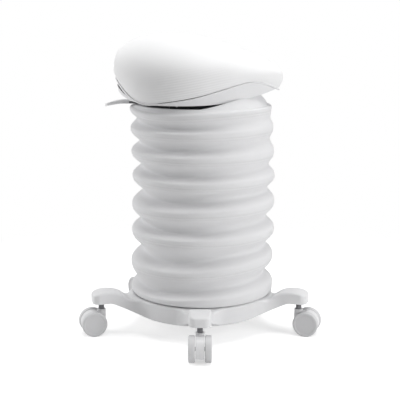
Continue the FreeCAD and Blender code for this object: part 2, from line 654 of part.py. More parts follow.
def inner_pins():
    """Pins fixed in the column's socket, at right angles to the outer ones."""
    start = Vec(0, TUBE_RADIUS + PIN_IN_SOCKET, PIVOT_HEIGHT)
    pin = bar(PIN_RADIUS, start, Vec(0, BUSH_OUTER_FACE - PIN_END_GAP, PIVOT_HEIGHT))
    return Part.makeCompound([pin, rotated(pin, 180)])


def gimbal_ring():
    """A steel ring with four bosses, bored on both axes for its bushes."""
    half = GIMBAL_HEIGHT / 2
    body = cylinder(GIMBAL_OUTER, PIVOT_HEIGHT - half, PIVOT_HEIGHT + half)
    boss = bar(GIMBAL_BOSS_RADIUS, Vec(0, 0, PIVOT_HEIGHT), Vec(BUSH_OUTER_FACE, 0, PIVOT_HEIGHT))
    body = body.fuse(around(boss, 4)).removeSplitter()
    reach = BUSH_OUTER_FACE + 1
    bore = bar(PIN_RADIUS + BUSH_WALL, Vec(-reach, 0, PIVOT_HEIGHT), Vec(reach, 0, PIVOT_HEIGHT))
    room = cylinder(GIMBAL_INNER, PIVOT_HEIGHT - half - 1, PIVOT_HEIGHT + half + 1)
    return body.cut([room, bore, rotated(bore, 90)])


def gimbal_bushes():
    """Plain bushes pressed into the ring, which run on the pins."""
    start = Vec(GIMBAL_INNER + PIN_END_GAP, 0, PIVOT_HEIGHT)
    end = Vec(BUSH_OUTER_FACE, 0, PIVOT_HEIGHT)
    bore = bar(PIN_RADIUS + RUNNING_GAP, start - AXIS_X, end + AXIS_X)
    bush = bar(PIN_RADIUS + BUSH_WALL, start, end).cut(bore)
    return Part.makeCompound(around(bush, 4))


def rubber_buffer():
    """A rubber ring with a waist that brings the column back upright."""
    low = YOKE_TOP + SOFT_GAP
    high = SOCKET_BOTTOM - SOFT_GAP
    middle = (low + high) / 2
    point = lambda r, h: Vec(r, 0, h)
    waist = BUFFER_OUTER - BUFFER_WAIST
    return turned([line(point(BUFFER_INNER, low), point(BUFFER_OUTER, low)),
                   arc(point(BUFFER_OUTER, low), point(waist, middle), point(BUFFER_OUTER, high)),
                   line(point(BUFFER_OUTER, high), point(BUFFER_INNER, high)),
                   line(point(BUFFER_INNER, high), point(BUFFER_INNER, low))])


# Column and gas lift

def column_socket():
    """A flanged cup that grips the outer tube and carries the inner pins."""
    cup = turned_points([(TUBE_RADIUS, SOCKET_BOTTOM), (SOCKET_FLANGE_RADIUS, SOCKET_BOTTOM),
                         (SOCKET_FLANGE_RADIUS, SOCKET_BOTTOM + SOCKET_FLANGE),
                         (SOCKET_RADIUS, SOCKET_BOTTOM + 2 * SOCKET_FLANGE),
                         (SOCKET_RADIUS, SOCKET_TOP - SOCKET_CHAMFER),
                         (TUBE_RADIUS + SOCKET_LIP, SOCKET_TOP), (TUBE_RADIUS, SOCKET_TOP)])
    start = Vec(0, TUBE_RADIUS + PIN_IN_SOCKET, PIVOT_HEIGHT)
    hole = bar(PIN_RADIUS, start, Vec(0, SOCKET_FLANGE_RADIUS, PIVOT_HEIGHT))
    return cup.cut([hole, rotated(hole, 180)])


def outer_tube():
    """The fixed steel tube of the gas lift, closed at its foot but for the rod's hole."""
    inner = TUBE_RADIUS - TUBE_WALL
    rod_hole = ROD_RADIUS + 1
    return turned_points([(rod_hole, TUBE_BOTTOM), (TUBE_RADIUS, TUBE_BOTTOM), (TUBE_RADIUS, TUBE_TOP),
                          (inner, TUBE_TOP), (inner, RACE_BOTTOM), (rod_hole, RACE_BOTTOM)])


def guide_bush():
    """The plastic bush in the tube's mouth, in which the gas cylinder slides and turns."""
    bore = CYLINDER_RADIUS + RUNNING_GAP
    inner = TUBE_RADIUS - TUBE_WALL
    return turned_points([(bore, TUBE_TOP - BUSH_LENGTH), (inner, TUBE_TOP - BUSH_LENGTH), (inner, TUBE_TOP),
                          (TUBE_RADIUS, TUBE_TOP), (TUBE_RADIUS - 1, BUSH_TOP), (bore, BUSH_TOP)])


def rod_clip():
    """The spring clip under the tube that holds the rod, open at one side."""
    clip = ring(ROD_RADIUS + RUNNING_GAP, CLIP_RADIUS, TUBE_BOTTOM - CLIP_WALL, TUBE_BOTTOM)
    half = CLIP_MOUTH / 2
    return clip.cut(box(0, 2 * CLIP_RADIUS, -half, half, TUBE_BOTTOM - CLIP_WALL - 1, TUBE_BOTTOM + 1))


def piston_rod():
    """The rod with its end collar below the clip and its piston inside the cylinder."""
    piston_bottom = CYLINDER_BOTTOM + CYLINDER_END_WALL + PISTON_GAP
    rod = cylinder(ROD_RADIUS, ROD_BOTTOM, piston_bottom)
    collar = cylinder(ROD_RADIUS + ROD_COLLAR, ROD_BOTTOM, TUBE_BOTTOM - CLIP_WALL - RUNNING_GAP)
    piston_radius = CYLINDER_RADIUS - CYLINDER_WALL - RUNNING_GAP
    piston = cylinder(piston_radius, piston_bottom, piston_bottom + PISTON_HEIGHT)
    return rod.fuse([collar, piston]).removeSplitter()


def race(low):
    """A hardened washer that the thrust bearing's balls roll on."""
    return ring(ROD_RADIUS + RUNNING_GAP, RACE_RADIUS, low, low + RACE_WALL)


def ball_places():
    """The centres of the bearing's balls."""
    step = 2 * math.pi / BALL_COUNT
    return [Vec(BALL_CIRCLE * math.cos(i * step), BALL_CIRCLE * math.sin(i * step), BALL_HEIGHT)
            for i in range(BALL_COUNT)]


def ball_cage():
    """A pierced ring that keeps the balls apart."""
    low = BALL_HEIGHT - CAGE_WALL / 2
    cage = ring(ROD_RADIUS + CAGE_INSET, RACE_RADIUS - CAGE_INSET, low, low + CAGE_WALL)
    pocket = BALL_RADIUS + RUNNING_GAP
    up = AXIS_Z * CAGE_WALL
    return cage.cut([bar(pocket, place - up, place + up) for place in ball_places()])


def thrust_balls():
    """The balls of the thrust bearing."""
    radius = BALL_RADIUS - BALL_FREE_PLAY
    return Part.makeCompound([Part.makeSphere(radius, place) for place in ball_places()])


def bump_stop():
    """A rubber ring on the rod that the cylinder meets at the bottom of its travel."""
    low = BUMP_STOP_BOTTOM
    high = low + BUMP_STOP_HEIGHT
    return turned_points([(ROD_RADIUS, low), (BUMP_STOP_RADIUS, low), (BUMP_STOP_RADIUS, (low + high) / 2),
                          (BUMP_STOP_RADIUS - BUMP_STOP_TAPER, high), (ROD_RADIUS, high)])


def cylinder_taper():
    """The turned cone at the cylinder's top, which wedges into the seat plate."""
    return turned_points([(0, PLATE_SOCKET_BOTTOM), (CYLINDER_RADIUS, PLATE_SOCKET_BOTTOM),
                          (CYLINDER_RADIUS - TAPER, CYLINDER_TOP), (0, CYLINDER_TOP)])


def gas_cylinder():
    """The sliding cylinder: a gland at its foot, a cone and a valve hole at its top."""
    shell = cylinder(CYLINDER_RADIUS, CYLINDER_BOTTOM, PLATE_SOCKET_BOTTOM)
    shell = shell.fuse(cylinder_taper()).removeSplitter()
    room_low = CYLINDER_BOTTOM + CYLINDER_END_WALL
    room_high = CYLINDER_TOP - CYLINDER_END_WALL
    room = cylinder(CYLINDER_RADIUS - CYLINDER_WALL, room_low, room_high)
    gland = cylinder(ROD_RADIUS + RUNNING_GAP, CYLINDER_BOTTOM - 1, room_low + 1)
    valve_way = cylinder(VALVE_RADIUS + RUNNING_GAP, room_high - 1, CYLINDER_TOP + 1)
    return shell.cut([room, gland, valve_way])


def valve_button():
    """The pin that opens the valve, with a collar that keeps it in the cylinder."""
    under = CYLINDER_TOP - CYLINDER_END_WALL
    pin = cylinder(VALVE_RADIUS, under - VALVE_PIN_BELOW, CYLINDER_TOP + VALVE_PROUD)
    collar_top = under - SOFT_GAP
    return pin.fuse(cylinder(VALVE_COLLAR, collar_top - VALVE_COLLAR_HEIGHT, collar_top)).removeSplitter()


# Sleeve and its carrier

def sleeve_carrier():
    """A vented cone with a flanged rim that holds the sleeve's upper hem round the gas cylinder."""
    bore = CYLINDER_RADIUS + RUNNING_GAP
    hub = CARRIER_HUB_RADIUS
    hub_low = CARRIER_HUB_BOTTOM
    sheet_low = hub_low + CARRIER_HUB_SKIRT
    rim = CARRIER_RIM_RADIUS
    rim_inner = rim - CARRIER_RIM_WALL
    rim_low = CARRIER_TOP - CARRIER_RIM_HEIGHT
    flange = rim + CARRIER_FLANGE
    wall = CARRIER_SHEET
    outline = [(bore, hub_low), (hub, hub_low), (hub, sheet_low), (rim, rim_low), (rim, CARRIER_TOP - wall),
               (flange, CARRIER_TOP - wall), (flange, CARRIER_TOP), (rim_inner, CARRIER_TOP),
               (rim_inner, rim_low + wall), (hub, sheet_low + wall), (hub, CARRIER_HUB_TOP),
               (bore, CARRIER_HUB_TOP)]
    vent = cylinder(VENT_RADIUS, hub_low, CARRIER_TOP)
    vent.translate(Vec(VENT_CIRCLE, 0, 0))
    return turned_points(outline).cut(around(vent, VENT_COUNT))


def carrier_washer():
    """A slippery washer between the carrier and the seat plate's socket."""
    outer = CARRIER_HUB_RADIUS - WASHER_INSET
    return ring(CYLINDER_RADIUS + RUNNING_GAP, outer, CARRIER_HUB_TOP, CARRIER_HUB_TOP + WASHER_WALL)


def carrier_clip():
    """The retaining ring on the gas cylinder that the carrier rests on."""
    high = CARRIER_HUB_BOTTOM - RUNNING_GAP
    return ring(CYLINDER_RADIUS, CYLINDER_RADIUS + CARRIER_CLIP_WIDTH, high - CARRIER_CLIP_WALL, high)


def upper_hem_ring():
    """The flat ring that clamps the sleeve's upper hem on the carrier's flange."""
    low = SLEEVE_TOP + SOFT_GAP
    rim = CARRIER_RIM_RADIUS
    flat = ring(rim - CARRIER_RIM_WALL, rim + CARRIER_FLANGE - CLAMP_COLLAR, low, low + CLAMP_WALL)
    collar = ring(rim - CARRIER_RIM_WALL, rim + CLAMP_COLLAR, CARRIER_TOP, low + CLAMP_WALL / 2)
    return flat.fuse(collar).removeSplitter()


def lower_hem_ring():
    """The ring with an upright wall in the hub's dish that the sleeve's lower hem grips."""
    outer = SLEEVE_HEM_RADIUS - 2 * SLEEVE_CLOTH - SOFT_GAP
    flange = HUB_RADIUS - RIM_WALL - SOFT_GAP
    low = LEDGE_HEIGHT
    foot = low + HEM_RING_WALL
    high = low + HEM_RING_HEIGHT
    return turned_points([(outer - HEM_RING_WALL, low), (flange, low), (flange, foot), (outer, foot),
                          (outer, high), (outer - HEM_RING_WALL, high)])


def fold_height(index):
    """Height of a fold's widest line, counted from the top; half numbers are the creases between folds."""
    last = FOLD_COUNT - 1
    drop = TOP_FOLD_HEIGHT - SLEEVE_BOTTOM - LOW_FOLD_RISE
    pitch = (drop - FOLD_PITCH_GROWTH * last ** 2) / last
    return TOP_FOLD_HEIGHT - pitch * index - FOLD_PITCH_GROWTH * index ** 2


def fold_radius(index):
    """Outer radius of a fold, which grows a little towards the base."""
    growth = SLEEVE_HEM_RADIUS + LOW_FOLD_OVERHANG - TOP_FOLD_RADIUS
    return TOP_FOLD_RADIUS + growth * index / (FOLD_COUNT - 1)


def sleeve():
    """The ribbed cloth sleeve: eight round folds with sharp creases, thin-walled, turned in at the top."""
    point = lambda r, h: Vec(r, 0, h)
    hem = point(SLEEVE_HEM_RADIUS, SLEEVE_BOTTOM)
    hem_inside = point(SLEEVE_HEM_RADIUS - 2 * SLEEVE_CLOTH, SLEEVE_BOTTOM)
    edge = CARRIER_RIM_RADIUS + CLAMP_COLLAR + SOFT_GAP
    top_outside = point(edge, SLEEVE_TOP)
    top_inside = point(edge, SLEEVE_TOP - SLEEVE_TOP_CLOTH)
    outside = []
    inside = []
    below = hem
    below_inside = hem_inside
    for index in range(FOLD_COUNT - 1, -1, -1):
        peak = point(fold_radius(index), fold_height(index))
        peak_inside = point(peak.x - SLEEVE_CLOTH, peak.z)
        if index > 0:
            crease = point(fold_radius(index - 0.5) - FOLD_DEPTH, fold_height(index - 0.5))
            crease_inside = point(crease.x - SLEEVE_CLOTH, crease.z)
            outside.append(arc(below, peak, crease))
            inside += [line(below_inside, peak_inside), line(peak_inside, crease_inside)]
            below = crease
            below_inside = crease_inside
    flange = CARRIER_RIM_RADIUS + CARRIER_FLANGE
    turn_in = point(flange, SLEEVE_TOP)
    turn_in_inside = point(flange + 1.5, SLEEVE_TOP - SLEEVE_TOP_CLOTH)
    bulge = (below + peak) * 0.5 + point(SLEEVE_CROWN, -SLEEVE_CROWN / 2)
    crown = (peak + turn_in) * 0.5 + point(SLEEVE_CROWN / 2, SLEEVE_CROWN)
    outside += [arc(below, bulge, peak), arc(peak, crown, turn_in),
                line(turn_in, top_outside), line(top_outside, top_inside)]
    inside += [line(below_inside, peak_inside), line(peak_inside, turn_in_inside),
               line(turn_in_inside, top_inside), line(hem, hem_inside)]
    return turned(outside + inside)


# Saddle

def saddle_outline(inset):
    """The egg that the saddle is seen from above: its centres, radii and tangent points after an inset."""
    back = SEAT_BACK_RADIUS - inset
    nose = SEAT_NOSE_RADIUS - inset
    side = SEAT_SIDE_RADIUS - inset
    back_x = SEAT_BACK + SEAT_BACK_RADIUS
    nose_x = SEAT_NOSE - SEAT_NOSE_RADIUS
    to_back = SEAT_SIDE_RADIUS - SEAT_BACK_RADIUS
    to_nose = SEAT_SIDE_RADIUS - SEAT_NOSE_RADIUS
    span = nose_x - back_x
    along = (to_back ** 2 - to_nose ** 2 + span ** 2) / (2 * span)
    side_x = back_x + along
    side_y = -math.sqrt(to_back ** 2 - along ** 2)
    back_angle = math.atan2(-side_y, back_x - side_x)
    nose_angle = math.atan2(-side_y, nose_x - side_x)
    return back, nose, side, back_x, nose_x, side_x, side_y, back_angle, nose_angle


def saddle_wire(inset, height):
    """The saddle's egg-shaped outline at one height, as four arcs."""
    back, nose, side, back_x, nose_x, side_x, side_y, back_angle, nose_angle = saddle_outline(inset)
    middle = (back_angle + nose_angle) / 2
    on = lambda x, y, r, a: Vec(x + r * math.cos(a), y + r * math.sin(a), height)
    back_point = on(back_x, 0, back, back_angle)
    nose_point = on(nose_x, 0, nose, nose_angle)
    side_point = on(side_x, side_y, side, middle)
    flip = lambda p: Vec(p.x, -p.y, p.z)
    return Part.Wire([arc(flip(back_point), Vec(back_x - back, 0, height), back_point),
                      arc(back_point, side_point, nose_point),
                      arc(nose_point, Vec(nose_x + nose, 0, height), flip(nose_point)),
                      arc(flip(nose_point), flip(side_point), flip(back_point))])


def saddle_half_width(x):
    """Half the saddle's width at a place along it."""
    back, nose, side, back_x, nose_x, side_x, side_y, back_angle, nose_angle = saddle_outline(0)
    if x < back_x + back * math.cos(back_angle):
        return math.sqrt(max(back ** 2 - (x - back_x) ** 2, 0))
    if x < nose_x + nose * math.cos(nose_angle):
        return side_y + math.sqrt(side ** 2 - (x - side_x) ** 2)
    return math.sqrt(max(nose ** 2 - (x - nose_x) ** 2, 0))


def seam_points(rise):
    """The line where the cushion meets the pan, seen from the side: low at the flanks, high at both ends."""
    base = SEAT_PLATE_HEIGHT + rise
    return [(SEAT_BACK - 6, base + 57.5), (-146, base + 21), (-80, base + 6), (0, base + 18.5),
            (68, base + 36.5), (108, base + 43), (SEAT_NOSE + 6, base + 22.5)]


def pan_floor_points(rise):
    """The pan's underside, seen from the side."""
    base = SEAT_PLATE_HEIGHT + PAN_ABOVE_PLATE + rise
    return [(SEAT_BACK - 6, base + 48), (-143, base + 11), (-95, base + 1), (-40, base),
            (15, base + 1), (70, base + 6.5), (115, base + 15.5), (SEAT_NOSE + 6, base + 34)]


def side_slab(points, level):
    """Everything between a side-view curve and a level, across the whole saddle."""
    start = Vec(points[0][0], 0, points[0][1])
    end = Vec(points[-1][0], 0, points[-1][1])
    low_start = Vec(start.x, 0, level)
    low_end = Vec(end.x, 0, level)
    wire = Part.Wire([curve_edge(points), line(end, low_end), line(low_end, low_start),
                      line(low_start, start)])
    slab = Part.Face(wire).extrude(AXIS_Y * 2 * WIDER_THAN_SEAT)
    slab.translate(AXIS_Y * -WIDER_THAN_SEAT)
    return slab


def saddle_prism(inset):
    """An upright prism of the saddle's outline, through the whole seat."""
    return Part.Face(saddle_wire(inset, BELOW_SEAT)).extrude(AXIS_Z * (ABOVE_SEAT - BELOW_SEAT))


def seat_pan():
    """A moulded pan: drafted walls up to the seam, a bowed floor, screw pillars and stiffening ribs."""
    foot = PAN_INSET + PAN_DRAFT
    low = SEAT_PLATE_HEIGHT - PAN_SPAN_BELOW
    high = SEAT_PLATE_HEIGHT + PAN_SPAN_ABOVE
    outer = Part.makeLoft([saddle_wire(foot, low), saddle_wire(PAN_INSET, high)], True)
    inner = Part.makeLoft([saddle_wire(foot + PAN_WALL, low), saddle_wire(PAN_INSET + PAN_WALL, high)], True)
    above_seam = side_slab(seam_points(-SEAM_GAP), ABOVE_SEAT)
    body = outer.cut([above_seam, side_slab(pan_floor_points(0), BELOW_SEAT)])
    room = inner.cut(side_slab(pan_floor_points(PAN_FLOOR), BELOW_SEAT))
    half = PAN_RIB / 2
    wide = WIDER_THAN_SEAT
    ribs = [box(x - half, x + half, -wide, wide, BELOW_SEAT, ABOVE_SEAT) for x in PAN_CROSS_RIBS]
    ribs += [box(-wide, wide, y - half, y + half, BELOW_SEAT, ABOVE_SEAT) for y in PAN_LONG_RIBS]
    pad_low = SEAT_PLATE_HEIGHT
    end = PLATE_LENGTH / 2
    side = PLATE_WIDTH / 2
    pad = box(-end, end, -side, side, pad_low, pad_low + PAN_PAD_WALL)
    pillars = at_seat_screws(cylinder(PAN_PILLAR_RADIUS, pad_low, ABOVE_SEAT))
    under_board = side_slab(seam_points(-BOARD_SEAT_GAP), BELOW_SEAT)
    stiffening = Part.makeCompound(ribs).common(room)
    inside = Part.makeCompound([pad] + pillars + [stiffening]).common(under_board)
    pan = body.cut(room).fuse(inside.Solids).removeSplitter()
    valve_room = cylinder(CYLINDER_RADIUS, BELOW_SEAT, ABOVE_SEAT)
    return pan.cut([valve_room] + at_seat_screws(seat_screw_hole()))


def seat_screw_hole():
    """A screw's clearance hole through the whole seat."""
    return cylinder(SEAT_SCREW_RADIUS + SCREW_GAP, BELOW_SEAT, ABOVE_SEAT)


def at_seat_screws(piece):
    """Copies of a piece at the four screws that hold the seat plate, the pan and the board together."""
    along = PLATE_LENGTH / 2 - SEAT_SCREW_END
    across = PLATE_WIDTH / 2 - SEAT_SCREW_SIDE
    copies = []
    for x in (-along, along):
        for y in (-across, across):
            copy = piece.copy()
            copy.translate(Vec(x, y, 0))
            copies.append(copy)
    return copies


def seat_board():
    """The stiff moulded board that the cushion is wrapped round, bent to the seam's line."""
    board = saddle_prism(BOARD_INSET).common(side_slab(seam_points(BOARD_WALL), BELOW_SEAT))
    return board.cut([side_slab(seam_points(0), BELOW_SEAT)] + at_seat_screws(seat_screw_hole()))


def crest_height(x):
    """Height of the cushion's ridge: highest behind the middle, falling in a long slope to the nose."""
    if x < CREST_X:
        share = (CREST_X - x) / (CREST_X - SEAT_BACK)
        rise = BACK_LIP_RISE + (CREST_RISE - BACK_LIP_RISE) * math.sqrt(1 - share ** BACK_FALL_POWER)
    else:
        share = (x - CREST_X) / (SEAT_NOSE - CREST_X)
        fall = (1 - share ** NOSE_FALL_POWER) ** NOSE_FALL_EASE
        rise = NOSE_LIP_RISE + (CREST_RISE - NOSE_LIP_RISE) * fall
    return SEAT_PLATE_HEIGHT + rise


def cushion_section(x):
    """The cushion cut across at one place: flat base, sides that draw in, a round crown."""
    half = saddle_half_width(x)
    top = crest_height(x)
    seam = curve_height(seam_points(0), x)
    low = seam - CUSHION_SKIRT
    waist = seam + WAIST_HEIGHT * (top - seam)
    shoulder = seam + SHOULDER_HEIGHT * (top - seam)
    skirt_y = SKIRT_WIDTH * half
    shoulder_y = SHOULDER_WIDTH * half
    point = lambda y, z: Vec(x, y, z)
    return Part.Wire([line(point(-skirt_y, low), point(skirt_y, low)),
                      arc(point(skirt_y, low), point(half, waist), point(shoulder_y, shoulder)),
                      arc(point(shoulder_y, shoulder), point(0, top), point(-shoulder_y, shoulder)),
                      arc(point(-shoulder_y, shoulder), point(-half, waist), point(-skirt_y, low))])


def seat_cushion():
    """The padded saddle: lofted along its length, drawn in below and pocketed for its board."""
    length = SEAT_NOSE - SEAT_BACK
    shares = (0.002, 0.02, 0.09, 0.22, 0.40, 0.58, 0.74, 0.87, 0.96, 0.993)
    crown = Part.makeLoft([cushion_section(SEAT_BACK + share * length) for share in shares], True)
    sides = [saddle_wire(inset, SEAT_PLATE_HEIGHT + rise) for inset, rise in CUSHION_DRAW_IN]
    drawn_in = Part.makeLoft(sides, True)
    pocket = saddle_prism(BOARD_INSET - SOFT_GAP)
    pocket = pocket.common(side_slab(seam_points(BOARD_WALL + SOFT_GAP), BELOW_SEAT))
    return crown.common(drawn_in).cut([side_slab(seam_points(SOFT_GAP), BELOW_SEAT), pocket])


def curve_height(points, x):
    """Height of a side-view curve above one place, found by halving."""
    curve = Part.BSplineCurve()
    curve.interpolate([Vec(px, 0, pz) for px, pz in points])
    low = curve.FirstParameter
    high = curve.LastParameter
    for _ in range(40):
        middle = (low + high) / 2
        if curve.value(middle).x < x:
            low = middle
        else:
            high = middle
    return curve.value(low).z


def seat_screws():
    """Four screws from the seat plate up into the board, each as long as its place needs."""
    low = SEAT_PLATE_HEIGHT - PLATE_WALL
    plain_head = cylinder(SEAT_SCREW_RADIUS + SEAT_SCREW_HEAD, low - SEAT_SCREW_HEAD_HEIGHT, low)
    screws = []
    for head in at_seat_screws(plain_head):
        centre = head.CenterOfMass
        top = curve_height(seam_points(BOARD_WALL - 1), centre.x)
        shank = bar(SEAT_SCREW_RADIUS, Vec(centre.x, centre.y, low), Vec(centre.x, centre.y, top))
        screws.append(head.fuse(shank))
    return Part.makeCompound(screws)


# Seat plate and lever

def seat_plate():
    """A pressed steel hat section with a conical socket for the gas cylinder."""
    high = SEAT_PLATE_HEIGHT
    low = CHANNEL_BOTTOM
    wall = PLATE_WALL
    end = CHANNEL_LENGTH / 2
    side = CHANNEL_WIDTH / 2
    half_length = PLATE_LENGTH / 2
    half_width = PLATE_WIDTH / 2
    flange = box(-half_length, half_length, -half_width, half_width, high - wall, high)
    channel = box(-end, end, -side, side, low, high)
    room = box(wall - end, end - wall, wall - side, side - wall, low + wall, high + 1)
    socket = cylinder(CYLINDER_RADIUS + PLATE_SOCKET_WALL, PLATE_SOCKET_BOTTOM, low + wall)
    plate = flange.fuse([channel, socket]).removeSplitter().cut([room, cylinder_taper()])
    slot = LEVER_ROD_RADIUS + LEVER_SLOT_GAP
    lever_slot = box(-end - 1, 1 + wall - end, -slot, slot, LEVER_HEIGHT - slot - LEVER_SLOT_GAP, high + 1)
    flange_slot = box(-half_length - 1, 1 - end, -slot, slot, high - wall - 1, high + 1)
    pivot = Vec(-LEVER_PIVOT, 0, LEVER_HEIGHT)
    pin_way = bar(LEVER_PIN_RADIUS, pivot - AXIS_Y * (side + 1), pivot + AXIS_Y * (side + 1))
    return plate.cut([lever_slot, flange_slot, pin_way] + at_seat_screws(seat_screw_hole()))


def lever_pin():
    """The pin across the seat plate's channel that the lever rocks on."""
    reach = CHANNEL_WIDTH / 2 + 2
    pivot = Vec(-LEVER_PIVOT, 0, LEVER_HEIGHT)
    return bar(LEVER_PIN_RADIUS, pivot - AXIS_Y * reach, pivot + AXIS_Y * reach)


def lever_rod():
    """A bent steel rod with an eye for its pin; its inner end lies over the valve."""
    high = LEVER_HEIGHT + LEVER_RISE
    bends = [Vec(LEVER_TOE, 0, LEVER_HEIGHT), Vec(-LEVER_BEND_START, 0, LEVER_HEIGHT),
             Vec(-LEVER_BEND_END, 0, high), Vec(-LEVER_ROD_END, 0, high)]
    pieces = [bar(LEVER_ROD_RADIUS, bends[i], bends[i + 1]) for i in range(3)]
    pieces += [Part.makeSphere(LEVER_ROD_RADIUS, bend) for bend in bends[1:3]]
    pivot = Vec(-LEVER_PIVOT, 0, LEVER_HEIGHT)
    half = LEVER_BOSS_LENGTH / 2
    pieces.append(bar(LEVER_BOSS_RADIUS, pivot - AXIS_Y * half, pivot + AXIS_Y * half))
    rod = pieces[0].fuse(pieces[1:]).removeSplitter()
    bore = LEVER_PIN_RADIUS + RUNNING_GAP
    return rod.cut(bar(bore, pivot - AXIS_Y * (half + 1), pivot + AXIS_Y * (half + 1)))


def lever_paddle():
    """A flat drooping finger plate with a rounded end, pressed on the rod."""
    rod_height = LEVER_HEIGHT + LEVER_RISE
    root = rod_height + PADDLE_OFFSET
    tip = root - PADDLE_DROOP
    half = PADDLE_WALL / 2
    flat_end = PADDLE_START + PADDLE_FLAT
    bow = (flat_end + PADDLE_END) / 2
    sag = (root + tip) / 2 + PADDLE_DROOP / 6
    point = lambda x, z: Vec(-x, -PADDLE_HALF_WIDTH, z)
    side = Part.Wire([line(point(PADDLE_START, root + half), point(flat_end, root + half)),
                      arc(point(flat_end, root + half), point(bow, sag + half),
                          point(PADDLE_END, tip + half)),
                      line(point(PADDLE_END, tip + half), point(PADDLE_END, tip - half / 2)),
                      arc(point(PADDLE_END, tip - half / 2), point(bow, sag - half),
                          point(flat_end, root - half)),
                      line(point(flat_end, root - half), point(PADDLE_START, root - half)),
                      line(point(PADDLE_START, root - half), point(PADDLE_START, root + half))])
    plate = Part.Face(side).extrude(AXIS_Y * (2 * PADDLE_HALF_WIDTH))
    low = tip - PADDLE_WALL
    near = -PADDLE_START
    far = -PADDLE_END
    shoulder = far + PADDLE_NOSE
    middle = (near + far) / 2
    across = PADDLE_HALF_WIDTH
    narrow = across - PADDLE_TAPER
    plan = Part.Wire([line(Vec(near, -narrow, low), Vec(near, narrow, low)),
                      arc(Vec(near, narrow, low), Vec(middle, across, low), Vec(shoulder, narrow, low)),
                      arc(Vec(shoulder, narrow, low), Vec(far, 0, low), Vec(shoulder, -narrow, low)),
                      arc(Vec(shoulder, -narrow, low), Vec(middle, -across, low), Vec(near, -narrow, low))])
    plate = plate.common(Part.Face(plan).extrude(AXIS_Z * (root - low + PADDLE_WALL)))
    bore = bar(LEVER_ROD_RADIUS, Vec(near + 1, 0, rod_height), Vec(-LEVER_ROD_END, 0, rod_height))
    return plate.cut(bore)


def main():
    os.makedirs("parts", exist_ok=True)
    save("star_base", star_base())
    save("hub_cover", hub_cover())
    save("cover_screws", cover_screws())
    save("caster_sleeves", Part.makeCompound([at_arm(caster_sleeve(), i) for i in range(ARM_COUNT)]))
    save("caster_stems", Part.makeCompound([at_arm(caster_stem(), i) for i in range(ARM_COUNT)]))
    for i in range(ARM_COUNT):
        number = str(i + 1)
        save("hood_" + number, at_arm(caster_hood(), i))
        save("axle_" + number, at_arm(caster_axle(), i))
        save("wheel_" + number + "a", at_arm(caster_wheel(1), i))
        save("wheel_" + number + "b", at_arm(caster_wheel(-1), i))
    save("yoke", yoke())
    save("yoke_screws", yoke_screws())
    save("outer_pins", outer_pins())
    save("rubber_buffer", rubber_buffer())
    save("gimbal_ring", gimbal_ring())
    save("gimbal_bushes", gimbal_bushes())
    save("inner_pins", inner_pins())
    save("column_socket", column_socket())
    save("outer_tube", outer_tube())
    save("guide_bush", guide_bush())
    save("rod_clip", rod_clip())
    save("lower_race", race(RACE_BOTTOM))
    save("ball_cage", ball_cage())
    save("thrust_balls", thrust_balls())
    save("upper_race", race(UPPER_RACE_BOTTOM))
    save("bump_stop", bump_stop())
    save("piston_rod", piston_rod())
    save("gas_cylinder", gas_cylinder())
    save("valve_button", valve_button())
    save("carrier_clip", carrier_clip())
    save("sleeve_carrier", sleeve_carrier())
    save("carrier_washer", carrier_washer())
    save("upper_hem_ring", upper_hem_ring())
    save("lower_hem_ring", lower_hem_ring())
    save("sleeve", sleeve())
    save("seat_plate", seat_plate())
    save("lever_pin", lever_pin())
    save("lever_rod", lever_rod())
    save("lever_paddle", lever_paddle())
    save("seat_pan", seat_pan())
    save("seat_board", seat_board())
    save("seat_cushion", seat_cushion())
    save("seat_screws", seat_screws())


main()
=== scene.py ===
"""Looks of a wobble stool: a saddle seat on a ribbed cloth sleeve and a five-arm base with twin-wheel casters."""

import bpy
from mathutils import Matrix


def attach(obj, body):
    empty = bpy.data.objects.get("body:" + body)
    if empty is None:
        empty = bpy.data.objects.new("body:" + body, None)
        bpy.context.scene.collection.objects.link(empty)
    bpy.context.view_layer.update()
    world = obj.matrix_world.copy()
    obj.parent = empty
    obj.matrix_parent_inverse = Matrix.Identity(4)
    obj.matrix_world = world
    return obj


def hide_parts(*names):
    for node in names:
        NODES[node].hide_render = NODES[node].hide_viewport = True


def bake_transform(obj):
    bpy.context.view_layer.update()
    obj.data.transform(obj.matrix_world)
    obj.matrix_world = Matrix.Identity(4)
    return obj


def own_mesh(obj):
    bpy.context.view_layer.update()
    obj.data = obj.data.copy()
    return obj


bl_info = {
    "name": "Wobble Stool Looks",
    "version": (1, 0, 0),
    "blender": (4, 5, 0),
    "location": "3D View > Sidebar > Stool",
    "description": "Cloth sleeve, padded saddle, moulded and metal finishes and a plain studio for a wobble stool",
    "category": "Object",
}

import math

import bpy
import numpy as np
from bpy.props import FloatProperty, FloatVectorProperty, IntProperty, PointerProperty
from mathutils import Matrix
from mathutils.kdtree import KDTree

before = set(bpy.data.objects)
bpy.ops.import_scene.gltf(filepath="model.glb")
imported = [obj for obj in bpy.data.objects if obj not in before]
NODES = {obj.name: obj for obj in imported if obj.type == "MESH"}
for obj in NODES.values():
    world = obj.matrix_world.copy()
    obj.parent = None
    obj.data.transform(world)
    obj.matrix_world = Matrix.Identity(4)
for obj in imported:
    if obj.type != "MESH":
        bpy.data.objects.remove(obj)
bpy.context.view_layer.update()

MM = 0.001
TURN = 2 * math.pi


# Sizes and colours that a user may change

